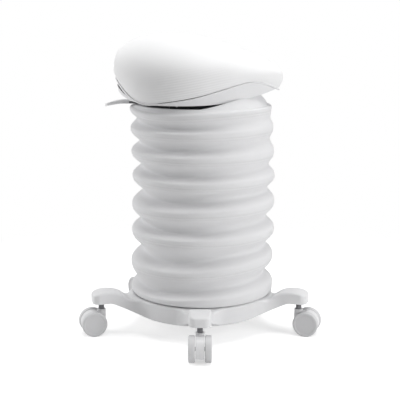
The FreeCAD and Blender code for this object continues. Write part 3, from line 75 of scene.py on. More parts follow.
class SleeveSizes(bpy.types.PropertyGroup):
    """The ribbed cloth sleeve round the column."""
    columns: IntProperty(name="Columns", description="Grid columns round the sleeve", default=352, min=48, max=720)
    top: FloatProperty(name="Top", description="Height of the upper hem", default=0.4505, unit="LENGTH")
    bottom: FloatProperty(name="Bottom", description="Height of the lower hem", default=0.0762, unit="LENGTH")
    tilt_end: FloatProperty(name="First joint", description="Height where the cloth has followed the first tilt",
                            default=0.123, unit="LENGTH")
    column_start: FloatProperty(name="Second joint", description="Height above which the cloth follows the column",
                                default=0.188, unit="LENGTH")
    seam_depth: FloatProperty(name="Seam depth", description="How far a hoop's seam pulls the cloth in",
                              default=0.0007, unit="LENGTH")
    colour: FloatVectorProperty(name="Cloth", description="Colour of the sleeve's knit", subtype="COLOR",
                                default=(0.80, 0.80, 0.81), min=0, max=1)


class SaddleSizes(bpy.types.PropertyGroup):
    """The padded saddle."""
    rings: IntProperty(name="Rings", description="Grid rings from the crown to the widest line", default=60, min=12)
    spokes: IntProperty(name="Spokes", description="Grid columns round the saddle", default=192, min=24)
    plump: FloatProperty(name="Plumpness", description="Most that the stuffing pushes the cover out",
                         default=0.0015, unit="LENGTH")
    rib_pitch: FloatProperty(name="Rib pitch", description="Distance between the cover's knitted ribs",
                             default=0.0046, unit="LENGTH")
    colour: FloatVectorProperty(name="Cover", description="Colour of the saddle's cover", subtype="COLOR",
                                default=(0.87, 0.87, 0.875), min=0, max=1)


class FinishColours(bpy.types.PropertyGroup):
    """Colours of the moulded, metal and wooden pieces."""
    shell: FloatVectorProperty(name="Shell", description="Moulded base, pan and hoods", subtype="COLOR",
                               default=(0.78, 0.78, 0.79), min=0, max=1)
    wheel: FloatVectorProperty(name="Wheels", description="Moulded wheels", subtype="COLOR",
                               default=(0.66, 0.66, 0.67), min=0, max=1)
    dark_steel: FloatVectorProperty(name="Dark steel", description="Plate, lever rod and caster stems",
                                    subtype="COLOR", default=(0.16, 0.16, 0.17), min=0, max=1)
    bright_steel: FloatVectorProperty(name="Bright steel", description="Machined rods, pins and screws",
                                      subtype="COLOR", default=(0.62, 0.62, 0.64), min=0, max=1)
    cast: FloatVectorProperty(name="Cast metal", description="Yoke, gimbal ring and socket", subtype="COLOR",
                              default=(0.30, 0.30, 0.31), min=0, max=1)
    bronze: FloatVectorProperty(name="Bronze", description="Sintered bushes", subtype="COLOR",
                                default=(0.62, 0.47, 0.25), min=0, max=1)
    rubber: FloatVectorProperty(name="Rubber", description="Buffer and bump stop", subtype="COLOR",
                                default=(0.045, 0.045, 0.045), min=0, max=1)
    bearing: FloatVectorProperty(name="Bearing plastic", description="Bushes, cage and sleeves", subtype="COLOR",
                                 default=(0.70, 0.70, 0.67), min=0, max=1)
    # The board's near-black colour is painted shade: where it shows between the cushion and the pan it makes the seam's
    # dark line.
    board: FloatVectorProperty(name="Board", description="Plywood under the padding", subtype="COLOR",
                               default=(0.05, 0.045, 0.04), min=0, max=1)


class StudioSizes(bpy.types.PropertyGroup):
    """Camera, lamps and floor."""
    distance: FloatProperty(name="Distance", description="Camera's distance in front of the column",
                            default=1.8, unit="LENGTH")
    height: FloatProperty(name="Height", description="Camera's height", default=0.606, unit="LENGTH")
    pitch: FloatProperty(name="Pitch", description="How far the camera looks down", default=math.radians(10.95),
                         subtype="ANGLE")
    lens: FloatProperty(name="Lens", description="Focal length in millimetres on a 36 mm sensor", default=82.08)
    key: FloatProperty(name="Key lamp", description="Power of the lamp at the right", default=22.5, unit="POWER")
    rim: FloatProperty(name="Rim lamp", description="Power of the lamp at the left", default=14.0, unit="POWER")
    overhead: FloatProperty(name="Top lamp", description="Power of the lamp above", default=21.0, unit="POWER")
    ambient: FloatProperty(name="Room light", description="Strength of the even light of the room", default=0.275)
    floor_glow: FloatProperty(name="Floor glow", description="What the camera sees added to the floor's light",
                              default=0.55)
    floor: FloatVectorProperty(name="Floor", description="Colour of the floor", subtype="COLOR",
                               default=(0.80, 0.80, 0.80), min=0, max=1)


GROUPS = {"stool_sleeve": SleeveSizes, "stool_saddle": SaddleSizes, "stool_finish": FinishColours,
          "stool_studio": StudioSizes}


# Surfaces

def curve_through(points):
    """A smooth function through points: a natural cubic spline, its bends found from one set of linear equations."""
    x, y = np.array(points, float).T
    step = np.diff(x)
    n = len(x)
    matrix = np.eye(n)
    right = np.zeros(n)
    inner = np.arange(1, n - 1)
    matrix[inner, inner - 1] = step[:-1]
    matrix[inner, inner] = 2 * (step[:-1] + step[1:])
    matrix[inner, inner + 1] = step[1:]
    right[inner] = 6 * (np.diff(y)[1:] / step[1:] - np.diff(y)[:-1] / step[:-1])
    bend = np.linalg.solve(matrix, right)

    def value(at):
        at = np.clip(at, x[0], x[-1])
        i = np.clip(np.searchsorted(x, at) - 1, 0, n - 2)
        a, b = x[i + 1] - at, at - x[i]
        h = step[i]
        return (bend[i] * a ** 3 + bend[i + 1] * b ** 3) / (6 * h) + (y[i] / h - bend[i] * h / 6) * a \
            + (y[i + 1] / h - bend[i + 1] * h / 6) * b

    return value


def grid_faces(rows, columns):
    """Quads of a grid that closes on itself along each row, numbered row by row, facing away from its axis."""
    i, j = np.meshgrid(np.arange(rows - 1), np.arange(columns), indexing="ij")
    k = (j + 1) % columns
    return np.stack([i * columns + j, i * columns + k, (i + 1) * columns + k, (i + 1) * columns + j],
                    -1).reshape(-1, 4)


def add_piece(name, points, faces, material):
    """A smooth mesh piece at the origin, from an array of points and a list of faces."""
    mesh = bpy.data.meshes.new(name)
    mesh.from_pydata(points.reshape(-1, 3).tolist(), [], faces if isinstance(faces, list) else faces.tolist())
    mesh.polygons.foreach_set("use_smooth", np.ones(len(mesh.polygons), bool))
    if material:
        mesh.materials.append(material)
    mesh.update()
    piece = bpy.data.objects.new(name, mesh)
    bpy.context.scene.collection.objects.link(piece)
    return piece


def point_values(piece, name, values):
    """Stores one number for each point of a piece, for its material to read."""
    attribute = piece.data.attributes.new(name, "FLOAT", "POINT")
    attribute.data.foreach_set("value", np.asarray(values, np.float32).ravel())


# Shader helpers

class Link:
    """A shader value that Python's operators turn into Math nodes."""

    def __init__(self, tree, socket):
        self.tree = tree
        self.socket = socket

    def math(self, operation, *others):
        node = self.tree.nodes.new("ShaderNodeMath")
        node.operation = operation
        for i, value in enumerate((self,) + others):
            if isinstance(value, Link):
                self.tree.links.new(value.socket, node.inputs[i])
            else:
                node.inputs[i].default_value = value
        return Link(self.tree, node.outputs[0])

    def __add__(self, other):
        return self.math("ADD", other)

    def __sub__(self, other):
        return self.math("SUBTRACT", other)

    def __rsub__(self, other):
        node = self.tree.nodes.new("ShaderNodeMath")
        node.operation = "SUBTRACT"
        node.inputs[0].default_value = other
        self.tree.links.new(self.socket, node.inputs[1])
        return Link(self.tree, node.outputs[0])

    def __mul__(self, other):
        return self.math("MULTIPLY", other)

    def __truediv__(self, other):
        return self.math("DIVIDE", other)

    __radd__ = __add__
    __rmul__ = __mul__

    def sine(self):
        return self.math("SINE")

    def size(self):
        return self.math("ABSOLUTE")

    def part(self):
        return self.math("FRACT")

    def at_least(self, other):
        return self.math("MAXIMUM", other)

    def at_most(self, other):
        return self.math("MINIMUM", other)


class Finish:
    """A material or a world under construction: its node tree and the calls that add to it."""

    def __init__(self, owner):
        owner.use_nodes = True
        self.owner = owner
        self.tree = owner.node_tree
        self.tree.nodes.clear()

    def node(self, kind, settings=None, **inputs):
        """Adds one node: its settings first, then its sockets' values or links, by name or as i and a number."""
        node = self.tree.nodes.new(kind)
        for key, value in (settings or {}).items():
            setattr(node, key, value)
        for key, value in inputs.items():
            socket = node.inputs[int(key[1:])] if key[0] == "i" and key[1:].isdigit() \
                else node.inputs[key.replace("_", " ")]
            if isinstance(value, Link):
                self.tree.links.new(value.socket, socket)
            else:
                socket.default_value = value
        return node

    def out(self, node, name):
        return Link(self.tree, node.outputs[name])

    def place(self, centre=(0, 0, 0), scale=(1, 1, 1)):
        """The Object coordinates, moved and scaled."""
        where = self.out(self.node("ShaderNodeTexCoord"), "Object")
        moved = self.node("ShaderNodeMapping", Vector=where, Location=[-c * s for c, s in zip(centre, scale)],
                          Scale=scale)
        return self.out(moved, "Vector")

    def noise(self, where, scale, detail=3.0, rough=0.5):
        """Soft noise of about 0 to 1 at a number of cells a metre."""
        made = self.node("ShaderNodeTexNoise", Vector=where, Scale=scale, Detail=detail, Roughness=rough)
        return self.out(made, "Fac")

    def value(self, name):
        """A number stored on the piece's points."""
        return self.out(self.node("ShaderNodeAttribute", {"attribute_name": name}), "Fac")

    def tint(self, share, low, high):
        """A colour between two, by a share of 0 to 1."""
        mixed = self.node("ShaderNodeMix", {"data_type": "RGBA", "clamp_factor": True}, i0=share,
                          i6=tuple(low) + (1,), i7=tuple(high) + (1,))
        return Link(self.tree, mixed.outputs[2])

    def bump(self, height, depth, strength=1.0):
        """A normal bent by a height of 0 to 1 over a depth in metres."""
        made = self.node("ShaderNodeBump", Height=height, Distance=depth, Strength=strength)
        return self.out(made, "Normal")

    def surface(self, **sockets):
        """The shader itself and the material's output."""
        shader = self.node("ShaderNodeBsdfPrincipled", **sockets)
        self.node("ShaderNodeOutputMaterial", Surface=self.out(shader, "BSDF"))
        return self.owner


def new_finish(name):
    """An empty material under construction."""
    return Finish(bpy.data.materials.new(name))


def shaded(colour, share):
    """A colour made lighter or darker by a share."""
    return tuple(min(1.0, c * share) for c in colour)


# Finishes

def moulded_plastic(name, colour, roughness=0.42, grain=0.00002):
    """Satin moulding: fine spark-eroded grain in the bump, faint cloudiness in colour and gloss."""
    make = new_finish(name)
    where = make.place()
    grains = make.noise(where, 2600.0, 2.0, 0.6)
    cloud = make.noise(where, 22.0, 4.0, 0.55)
    handled = make.noise(where, 140.0, 3.0, 0.6)
    return make.surface(Base_Color=make.tint(cloud, shaded(colour, 0.975), shaded(colour, 1.02)),
                        Roughness=(handled - 0.5) * 0.12 + roughness, Normal=make.bump(grains, grain))


def brushed_metal(name, colour, roughness, stretch, grain=0.00001):
    """Metal with turning marks: noise drawn out along two axes, which also varies the gloss."""
    make = new_finish(name)
    marks = make.noise(make.place(scale=stretch), 900.0, 3.0, 0.6)
    cloud = make.noise(make.place(), 45.0, 3.0, 0.5)
    return make.surface(Base_Color=make.tint(cloud, shaded(colour, 0.88), shaded(colour, 1.06)), Metallic=1.0,
                        Roughness=(marks - 0.5) * 0.2 + roughness, Normal=make.bump(marks, grain))


def painted_steel(name, colour):
    """Dark powder coat: orange-peel bump and a little variation in colour."""
    make = new_finish(name)
    where = make.place()
    peel = make.noise(where, 1100.0, 2.0, 0.5)
    cloud = make.noise(where, 60.0, 3.0, 0.5)
    return make.surface(Base_Color=make.tint(cloud, shaded(colour, 0.85), shaded(colour, 1.15)),
                        Roughness=(cloud - 0.5) * 0.15 + 0.4, Normal=make.bump(peel, 0.00004))


def cast_metal(name, colour):
    """Cast metal: coarse skin in the bump with small dark pits."""
    make = new_finish(name)
    where = make.place()
    skin = make.noise(where, 700.0, 5.0, 0.65)
    cloud = make.noise(where, 50.0, 3.0, 0.5)
    return make.surface(Base_Color=make.tint(cloud, shaded(colour, 0.8), shaded(colour, 1.15)), Metallic=0.7,
                        Roughness=(skin - 0.5) * 0.25 + 0.55, Normal=make.bump(skin, 0.0001))


def matte_rubber(name, colour):
    """Moulded rubber: soft bloom and a fine sandy bump."""
    make = new_finish(name)
    where = make.place()
    bloom = make.noise(where, 80.0, 4.0, 0.6)
    sand = make.noise(where, 1800.0, 2.0, 0.5)
    return make.surface(Base_Color=make.tint(bloom, shaded(colour, 0.8), shaded(colour, 1.6)),
                        Roughness=(bloom - 0.5) * 0.1 + 0.8, Normal=make.bump(sand, 0.00005))


def plywood(name, colour):
    """Board: long grain drawn out along X, with darker pores."""
    make = new_finish(name)
    grain = make.noise(make.place(scale=(0.06, 1.0, 1.0)), 260.0, 5.0, 0.6)
    return make.surface(Base_Color=make.tint(grain, shaded(colour, 0.7), shaded(colour, 1.1)),
                        Roughness=(grain - 0.5) * 0.2 + 0.65, Normal=make.bump(grain, 0.0001))


def sleeve_knit(colour):
    """Stretch knit: rows of small loops along the stored cloth lengths, with two sewn lines under each hoop.

    A loop is a wave across its column times a wave along it that is set back at the column's edges, so it reads as
    a row of small v shapes. A sewn line is a narrow dip at its distance below the hoop, broken into stitches. Both
    also darken the colour: painted shade in the hollows between the loops and in the sewn lines' grooves."""
    make = new_finish("sleeve_knit")
    round_it, along, below = make.value("round"), make.value("along"), make.value("below")
    column = (round_it / 0.0016).part()
    lean = (column - 0.5).size()
    loops = ((along / 0.0014 + lean * 0.9) * TURN).sine() * 0.5 + 0.5
    ridge = 1.0 - lean * 1.6
    weave = loops * 0.6 + ridge * 0.4
    stitches = ((round_it / 0.0042 * TURN).sine() * 0.5 + 0.5) * 0.5 + 0.5

    def sewn(distance, width):
        gap = ((below - distance) / width).size()
        return (1.0 - gap).at_least(0.0) * stitches

    line = (sewn(0.0062, 0.0011) + sewn(0.0112, 0.0012) * 0.6).at_most(1.0)
    where = make.place()
    cloud = make.noise(where, 18.0, 4.0, 0.55)
    fuzz = make.noise(where, 900.0, 2.0, 0.6)
    base = make.tint(cloud, shaded(colour, 0.965), shaded(colour, 1.02))
    low = shaded(colour, 0.80)
    # Painted shade: the colour darkens in the knit's hollows and more along the sewn lines' grooves; the fuzz adds
    # random tone.
    painted_shade_and_fuzz = (1.0 - weave) * 0.10 + line * 0.5 + (fuzz - 0.5) * 0.08
    mixed = make.node("ShaderNodeMix", {"data_type": "RGBA", "clamp_factor": True}, i0=painted_shade_and_fuzz, i6=base,
                      i7=low + (1,))
    tone = Link(make.tree, mixed.outputs[2])
    height = weave * 0.35 + fuzz * 0.1 - line * 0.55 + 0.5
    return make.surface(Base_Color=tone, Roughness=(cloud - 0.5) * 0.1 + 0.86, Sheen_Weight=0.18,
                        Sheen_Roughness=0.5, Specular_IOR_Level=0.25, Normal=make.bump(height, 0.0004, 0.7))


def saddle_knit(colour, pitch):
    """Ribbed knit cover: ribs that follow the seam by the stored climb above it, strongest low on the flanks.
    The colour darkens in the ribs' grooves, most low on the flanks: painted shade.
    """
    make = new_finish("saddle_knit")
    climb, flank = make.value("climb"), make.value("flank")
    where = make.place()
    wander = make.noise(where, 30.0, 2.0, 0.5)
    rib = ((climb / pitch + wander * 0.15) * TURN).sine() * 0.5 + 0.5
    loops = ((make.value("lengthwise") / 0.0017) * TURN).sine() * 0.5 + 0.5
    weave = rib * 0.75 + loops * rib * 0.25
    cloud = make.noise(where, 14.0, 4.0, 0.5)
    fuzz = make.noise(where, 1100.0, 2.0, 0.6)
    base = make.tint(cloud, shaded(colour, 0.98), shaded(colour, 1.012))
    # Painted shade: the colour darkens in the ribs' grooves, most on the low flanks; the fuzz adds random tone.
    painted_shade_and_fuzz = (1.0 - weave) * (flank * 0.5 + 0.012) + (fuzz - 0.5) * 0.03
    mixed = make.node("ShaderNodeMix", {"data_type": "RGBA", "clamp_factor": True}, i0=painted_shade_and_fuzz, i6=base,
                      i7=shaded(colour, 0.82) + (1,))
    tone = Link(make.tree, mixed.outputs[2])
    height = weave * (flank * 0.93 + 0.07) * 0.7 + fuzz * 0.1
    return make.surface(Base_Color=tone, Roughness=(cloud - 0.5) * 0.1 + 0.82, Sheen_Weight=0.15,
                        Sheen_Roughness=0.5, Specular_IOR_Level=0.3, Normal=make.bump(height, 0.00035, 0.7))


# Sleeve: heights and radii of its hoops and of the folds between them, in millimetres, at its left and right sides

HOOP_LEFT = ((447, 138), (404, 137), (359, 136), (311, 134.5), (253, 136), (202, 137), (137, 139), (83, 139.5))
HOOP_RIGHT = ((447, 141), (406, 145), (358, 147), (311, 149), (259, 149), (203, 149), (149, 147), (93, 147))
# A fold's place is its share of the way down from one hoop to the next; the folds sag most at one angle.
FOLD_LEFT = ((0.44, 127), (0.49, 122), (0.48, 119.5), (0.42, 115.5), (0.51, 120.5), (0.46, 118.5), (0.55, 130))
FOLD_RIGHT = ((0.53, 139), (0.45, 138), (0.53, 136.5), (0.46, 134.5), (0.52, 132.5), (0.52, 132.5), (0.55, 129.5))
SAG_ANGLE, SAG_WIDTH = math.radians(238), 0.8
SAG_SHARE, SAG_DEPTH, SAG_DROP = 0.29, 0.010, 0.009
LOW_ROWS, MIDDLE_ROWS, HIGH_ROWS = 40, 62, 244
STITCH_LINES = ((0.0062, 0.0015, 1.0), (0.0112, 0.0017, 0.5))
NO_HOOP = 0.05
CLOTH_RADIUS = 0.14


def round_sleeve(left, right, angle, sway):
    """Values round the sleeve: a steady change from its left to its right side, plus two slow waves of its own."""
    left, right = np.array(left, float)[:, None], np.array(right, float)[:, None]
    number = np.arange(len(left))[:, None]
    steady = (left + right) / 2 + (right - left) / 2 * np.cos(angle)
    front = np.sin(angle) ** 2
    return steady + sway * front * (0.6 * np.sin(2 * angle + 2.4 * number) + 0.4 * np.sin(3 * angle + 1.7 * number))


def sleeve_surface(sizes):
    """The whole sleeve as rows of points: a radius for each angle and height.

    Between two hoops the radius falls by a half cosine raised to a power, so hoops are broad and folds narrow, and the
    fold's place between them is a share of its own. Near the sag's angle a bell curve lowers and deepens each fold and
    lowers the top hoop. Each end closes on its hem by a quarter round."""
    angle = np.arange(sizes.columns) * TURN / sizes.columns
    hoop_left, hoop_right = np.array(HOOP_LEFT) * MM, np.array(HOOP_RIGHT) * MM
    hoop_z = round_sleeve(hoop_left[:, 0], hoop_right[:, 0], angle, 1.5 * MM)
    hoop_r = round_sleeve(hoop_left[:, 1], hoop_right[:, 1], angle, 0.8 * MM)
    fold_left, fold_right = np.array(FOLD_LEFT), np.array(FOLD_RIGHT)
    fold_at = round_sleeve(fold_left[:, 0], fold_right[:, 0], angle, 0.02)
    sag = np.exp(-((angle - SAG_ANGLE) / SAG_WIDTH) ** 2)
    fold_at = fold_at + SAG_SHARE * sag
    fold_r = round_sleeve(fold_left[:, 1] * MM, fold_right[:, 1] * MM, angle, 2.0 * MM) - SAG_DEPTH * sag
    drop = SAG_DROP * sag
    hoop_z[0] = np.minimum(hoop_z[0], sizes.top - 4 * MM - drop)
    hoop_z[-1] = np.maximum(hoop_z[-1], sizes.bottom + 6 * MM)

    def lift(low, high, rows):
        share = np.linspace(0, 1, rows, endpoint=False)[:, None]
        return low + (high - low) * share + 0 * angle

    z = np.concatenate([lift(hoop_z[-1], sizes.tilt_end, LOW_ROWS),
                        lift(sizes.tilt_end, sizes.column_start, MIDDLE_ROWS),
                        lift(sizes.column_start, hoop_z[0], HIGH_ROWS)])
    radius = np.zeros_like(z)
    below = np.full_like(z, NO_HOOP)
    for n in range(len(hoop_z) - 1):
        share = (hoop_z[n] - z) / (hoop_z[n] - hoop_z[n + 1])
        inside = (share >= 0) & (share <= 1)
        turn = np.where(share < fold_at[n], share / fold_at[n], 1 + (share - fold_at[n]) / (1 - fold_at[n]))
        dip = (0.5 - 0.5 * np.cos(np.pi * np.clip(turn, 0, 2))) ** 1.45
        side = np.where(turn < 1, hoop_r[n], hoop_r[n + 1])
        radius = np.where(inside, side + (fold_r[n] - side) * dip, radius)
        below = np.where(inside, hoop_z[n] - z, below)
    for distance, width, share in STITCH_LINES:
        radius -= sizes.seam_depth * share * np.exp(-((below - distance) / width) ** 2)

    def hem(start_z, start_r, end_z, depth, rows, sunk):
        """A quarter round from the outermost hoop to a hem that points in and ends at its own height."""
        swing = np.linspace(0, np.pi / 2, rows)[:, None]
        edge_z = start_z + (end_z - sunk - start_z) * np.sin(swing)
        edge_r = start_r - depth * 0.45 * (1 - np.cos(swing))
        flat = np.linspace(0, 1, 5)[1:, None]
        return (np.concatenate([edge_z, edge_z[-1:] + sunk * flat]),
                np.concatenate([edge_r, edge_r[-1] - depth * 0.55 * flat]))

    top_z, top_r = hem(hoop_z[0], hoop_r[0], sizes.top, 12 * MM, 8, drop)
    low_z, low_r = hem(hoop_z[-1], hoop_r[-1], sizes.bottom, 9 * MM, 8, 0 * drop)
    low_z, low_r = low_z[:0:-1], low_r[:0:-1]
    z = np.concatenate([low_z, z, top_z])
    radius = np.concatenate([low_r, radius, top_r])
    below = np.concatenate([np.full_like(low_z, NO_HOOP), below, np.full_like(top_z, NO_HOOP)])
    first = len(low_z) + LOW_ROWS
    second = first + MIDDLE_ROWS
    points = np.stack([radius * np.cos(angle), radius * np.sin(angle), z], -1)
    lengths = np.linalg.norm(np.diff(points, axis=0), axis=-1)
    along = np.concatenate([np.zeros((1, sizes.columns)), np.cumsum(lengths, 0)])
    around = np.broadcast_to(CLOTH_RADIUS * angle, z.shape)
    return points, along, around, below, first, second


def neck_surface(columns):
    """The sleeve's gathered top: a band from inside the top hoop up to the pan, as rows of points.

    Its outer edge is level and widens towards the nose, staying inside the hoop's roll. Its inner edge is nearer the
    column and rises by a smooth step towards the nose, where the pan's underside is highest; the band between them bows
    up by a sine and is pleated by another."""
    angle = np.arange(columns) * TURN / columns
    share = np.linspace(0, 1, 16)[:, None]
    step = np.clip(np.cos(angle) + 0.15, 0, 1)
    rise = step * step * (3 - 2 * step)
    outer_r, inner_r = 126.0 + 8.0 * rise, 123.0 - 6.0 * rise
    outer_z, inner_z = 449.0, 449.5 + 20.0 * rise
    radius = outer_r + (inner_r - outer_r) * share ** 1.2
    height = outer_z + (inner_z - outer_z) * share + 2.0 * rise * np.sin(np.pi * share)
    radius = radius + 0.5 * rise * np.sin(46 * angle) * share ** 2
    return np.stack([radius * np.cos(angle), radius * np.sin(angle), height], -1) * MM


class STOOL_OT_sleeve(bpy.types.Operator):
    """Build the ribbed cloth sleeve in three lengths: the lower two stay where they are built and the highest follows
    the column
    """
    bl_idname = "stool.sleeve"
    bl_label = "Cloth sleeve"

    def execute(self, context):
        sizes = context.scene.stool_sleeve
        points, along, around, below, first, second = sleeve_surface(sizes)
        material = sleeve_knit(sizes.colour)
        lengths = (("sleeve_low", 0, first), ("sleeve_middle", first, second),
                   ("sleeve_high", second, len(points) - 1))
        made = []
        for name, low, high in lengths:
            rows = slice(low, high + 1)
            piece = add_piece(name, points[rows], grid_faces(high - low + 1, sizes.columns), material)
            for key, values in (("along", along), ("round", around), ("below", below)):
                point_values(piece, key, values[rows])
            made.append(piece)
        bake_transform(made[0])
        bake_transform(made[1])
        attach(made[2], "column")
        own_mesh(made[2])
        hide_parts("sleeve")
        rows = neck_surface(sizes.columns)
        neck = add_piece("sleeve_neck", rows, grid_faces(len(rows), sizes.columns), material)
        lengths = np.linalg.norm(np.diff(rows, axis=0), axis=-1)
        point_values(neck, "along", np.concatenate([np.zeros((1, sizes.columns)), np.cumsum(lengths, 0)]))
        point_values(neck, "round", np.broadcast_to(CLOTH_RADIUS * np.arange(sizes.columns) * TURN / sizes.columns,
                                                    rows.shape[:2]))
        point_values(neck, "below", np.full(rows.shape[:2], NO_HOOP))
        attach(neck, "seat")
        return {"FINISHED"}


# Saddle: its lines seen from the side, in millimetres, and the arcs of its outline seen from above

BACK, NOSE = -169.0, 163.0
MIDDLE, REACH = (BACK + NOSE) / 2, (NOSE - BACK) / 2
CREST = ((-169, 521), (-168, 531), (-163, 547), (-151, 561), (-135, 571.5), (-116, 579.5), (-94, 584.5), (-72, 586.5),
         (-50, 586.5), (-28, 585), (-6, 582), (16, 577.5), (38, 571.5), (60, 564.5), (82, 556), (104, 546.5),
         (126, 536.5), (143, 528), (155, 519.5), (161, 512), (163, 505))
WIDEST = ((-169, 521), (-130, 512), (-60, 507), (0, 511), (60, 515), (110, 514), (163, 505))
SEAM = ((-175, 514), (-146, 477.5), (-80, 462.5), (0, 475), (68, 493), (108, 499.5), (169, 479))
CENTRE_X = -25.0


def saddle_half_width(x):
    """Half the width of the egg-shaped outline: a back arc of 140 mm, a nose arc of 58 mm, side arcs of 300 mm."""
    back_r, nose_r, side_r = 140.0, 58.0, 300.0
    back_x, nose_x = BACK + back_r, NOSE - nose_r
    to_back, to_nose, span = side_r - back_r, side_r - nose_r, nose_x - back_x
    along = (to_back ** 2 - to_nose ** 2 + span ** 2) / (2 * span)
    side_x, side_y = back_x + along, -math.sqrt(to_back ** 2 - along ** 2)
    back_end = back_x + back_r * (back_x - side_x) / to_back
    nose_start = nose_x + nose_r * (nose_x - side_x) / to_nose
    root = lambda v: np.sqrt(np.maximum(v, 0))
    return np.where(x < back_end, root(back_r ** 2 - (x - back_x) ** 2),
                    np.where(x < nose_start, side_y + root(side_r ** 2 - (x - side_x) ** 2),
                             root(nose_r ** 2 - (x - nose_x) ** 2)))


def saddle_outline(spokes):
    """The outline's places along the saddle, and each one's way out from the centre, for evenly swung spokes."""
    angle = np.arange(spokes) * TURN / spokes
    edge_x = MIDDLE + REACH * np.cos(angle)
    edge_y = np.sign(np.sin(angle)) * saddle_half_width(edge_x) * (np.abs(np.sin(angle)) > 1e-9)
    return edge_x, edge_x - CENTRE_X, edge_y


def pan_inset(seam_z):
    """How far the pan's wall stands in from the outline at its upper edge: more where that edge is lower."""
    return 2.5 + 14.0 * (515.0 - seam_z) / 75.0


def by_swing(points):
    """A side line as a smooth function of the place along the saddle, measured as the arc sine of its share."""
    table = np.array(points, float)
    swing = np.arcsin(np.clip((table[:, 0] - MIDDLE) / REACH, -1, 1))
    line = curve_through(np.stack([swing, table[:, 1]], -1))
    return lambda x: line(np.arcsin(np.clip((x - MIDDLE) / REACH, -1, 1)))


def saddle_surface(sizes):
    """The saddle as rings of points round a centre: out from its crown, down its sides, and in under them.

    Above the widest line the height is that line's plus an ellipse's share of the way to the crest, for each place's
    share of the half width. Below it the ring draws in by a square law down to the pan's edge, turns under by a
    quarter round that reaches lower at the back and the nose, and rises into the pocket of the board."""
    crest, widest, seam = by_swing(CREST), by_swing(WIDEST), curve_through(SEAM)
    edge_x, out_x, out_y = saddle_outline(sizes.spokes)
    reach = np.hypot(out_x, out_y)
    swing = np.linspace(0, np.pi / 2, sizes.rings + 1)[1:, None]
    share = np.sin(swing)
    x, y = CENTRE_X + share * out_x, share * out_y
    half = np.maximum(saddle_half_width(x), 1e-6)
    rise = np.sqrt(np.clip(1 - (y / half) ** 2, 0, 1))
    z = widest(x) + (crest(x) - widest(x)) * rise
    z[-1] = widest(edge_x)
    rings = [np.stack([x, y, z], -1)]

    edge_z, seam_z = widest(edge_x), seam(edge_x)
    draw_in = pan_inset(seam_z) + 0.3
    turn = 1.2
    tuck = 0.5 + 0.8 * np.clip(np.maximum(-edge_x - 110, edge_x - 70) / 40, 0, 1)

    def ring(inset, height):
        scale = 1 - inset / reach
        return np.stack([CENTRE_X + out_x * scale, out_y * scale, height], -1)[None]

    for step in np.linspace(0, 1, 19)[1:]:
        rings.append(ring(draw_in * step ** 2, edge_z + (seam_z + turn - edge_z) * step))
    for step in np.linspace(0, np.pi / 2, 5)[1:]:
        rings.append(ring(draw_in + turn * (1 - np.cos(step)), seam_z + turn - (turn + tuck) * np.sin(step)))
    under = reach * 0.5
    for inset, above in ((draw_in + 1.6, -tuck), (np.maximum(draw_in + 2.0, 13.6), 0.4),
                         (np.maximum(draw_in + 2.3, 14.6), 6.6), (under, 7.2)):
        scale = 1 - inset / reach
        ring_x = CENTRE_X + out_x * scale
        rings.append(ring(inset, seam(ring_x) + above))
    points = np.concatenate(rings)
    top = np.array([[CENTRE_X, 0, float(crest(np.array([CENTRE_X]))[0])]])
    foot = np.array([[CENTRE_X, 0, float(seam(np.array([CENTRE_X]))[0]) + 7.2]])
    return points * MM, top * MM, foot * MM


def saddle_faces(rows, spokes):
    """Faces of the rings with a fan at the crown and one at the foot, all facing out."""
    quads = grid_faces(rows, spokes)[:, ::-1]
    j = np.arange(spokes)
    k = (j + 1) % spokes
    last = (rows - 1) * spokes
    crown = np.stack([np.full(spokes, rows * spokes), j, k], -1)
    foot = np.stack([np.full(spokes, rows * spokes + 1), last + k, last + j], -1)
    return quads.tolist() + crown.tolist() + foot.tolist()


def filled(points, faces, most):
    """How far the stuffing pushes the cover out: one movement for each point.

    A copy of the cover is remeshed evenly and blown up by the Cloth simulation. Each point takes the movement of the
    copy's eight nearest points, weighted by nearness and held to a greatest size."""
    copy = add_piece("cover_copy", points, faces, None)
    remesh = copy.modifiers.new("even", "REMESH")
    remesh.mode = "VOXEL"
    remesh.voxel_size = 0.005
    bpy.context.view_layer.objects.active = copy
    bpy.ops.object.modifier_apply(modifier=remesh.name)

    def places(mesh):
        flat = np.zeros(len(mesh.vertices) * 3)
        mesh.vertices.foreach_get("co", flat)
        return flat.reshape(-1, 3)

    start = places(copy.data)
    cloth = copy.modifiers.new("cover", "CLOTH")
    cloth.settings.use_pressure = True
    cloth.settings.uniform_pressure_force = 4.0
    cloth.settings.effector_weights.gravity = 0.0
    cloth.settings.quality = 5
    cloth.point_cache.frame_end = 20
    scene = bpy.context.scene
    for number in range(1, 21):
        scene.frame_set(number)
    blown = copy.evaluated_get(bpy.context.evaluated_depsgraph_get())
    move = places(blown.to_mesh()) - start
    blown.to_mesh_clear()
    scene.frame_set(1)
    bpy.data.objects.remove(copy)
    tree = KDTree(len(start))
    for i, place in enumerate(start):
        tree.insert(place, i)
    tree.balance()
    pushed = np.zeros_like(points)
    for i, place in enumerate(points):
        near = tree.find_n(place, 8)
        weight = np.array([1 / (distance + 0.001) for _, _, distance in near])
        pushed[i] = weight @ move[[index for _, index, _ in near]] / weight.sum()
    size = np.linalg.norm(pushed, axis=1, keepdims=True)
    return pushed * np.minimum(1.0, most / np.maximum(size, 1e-9))


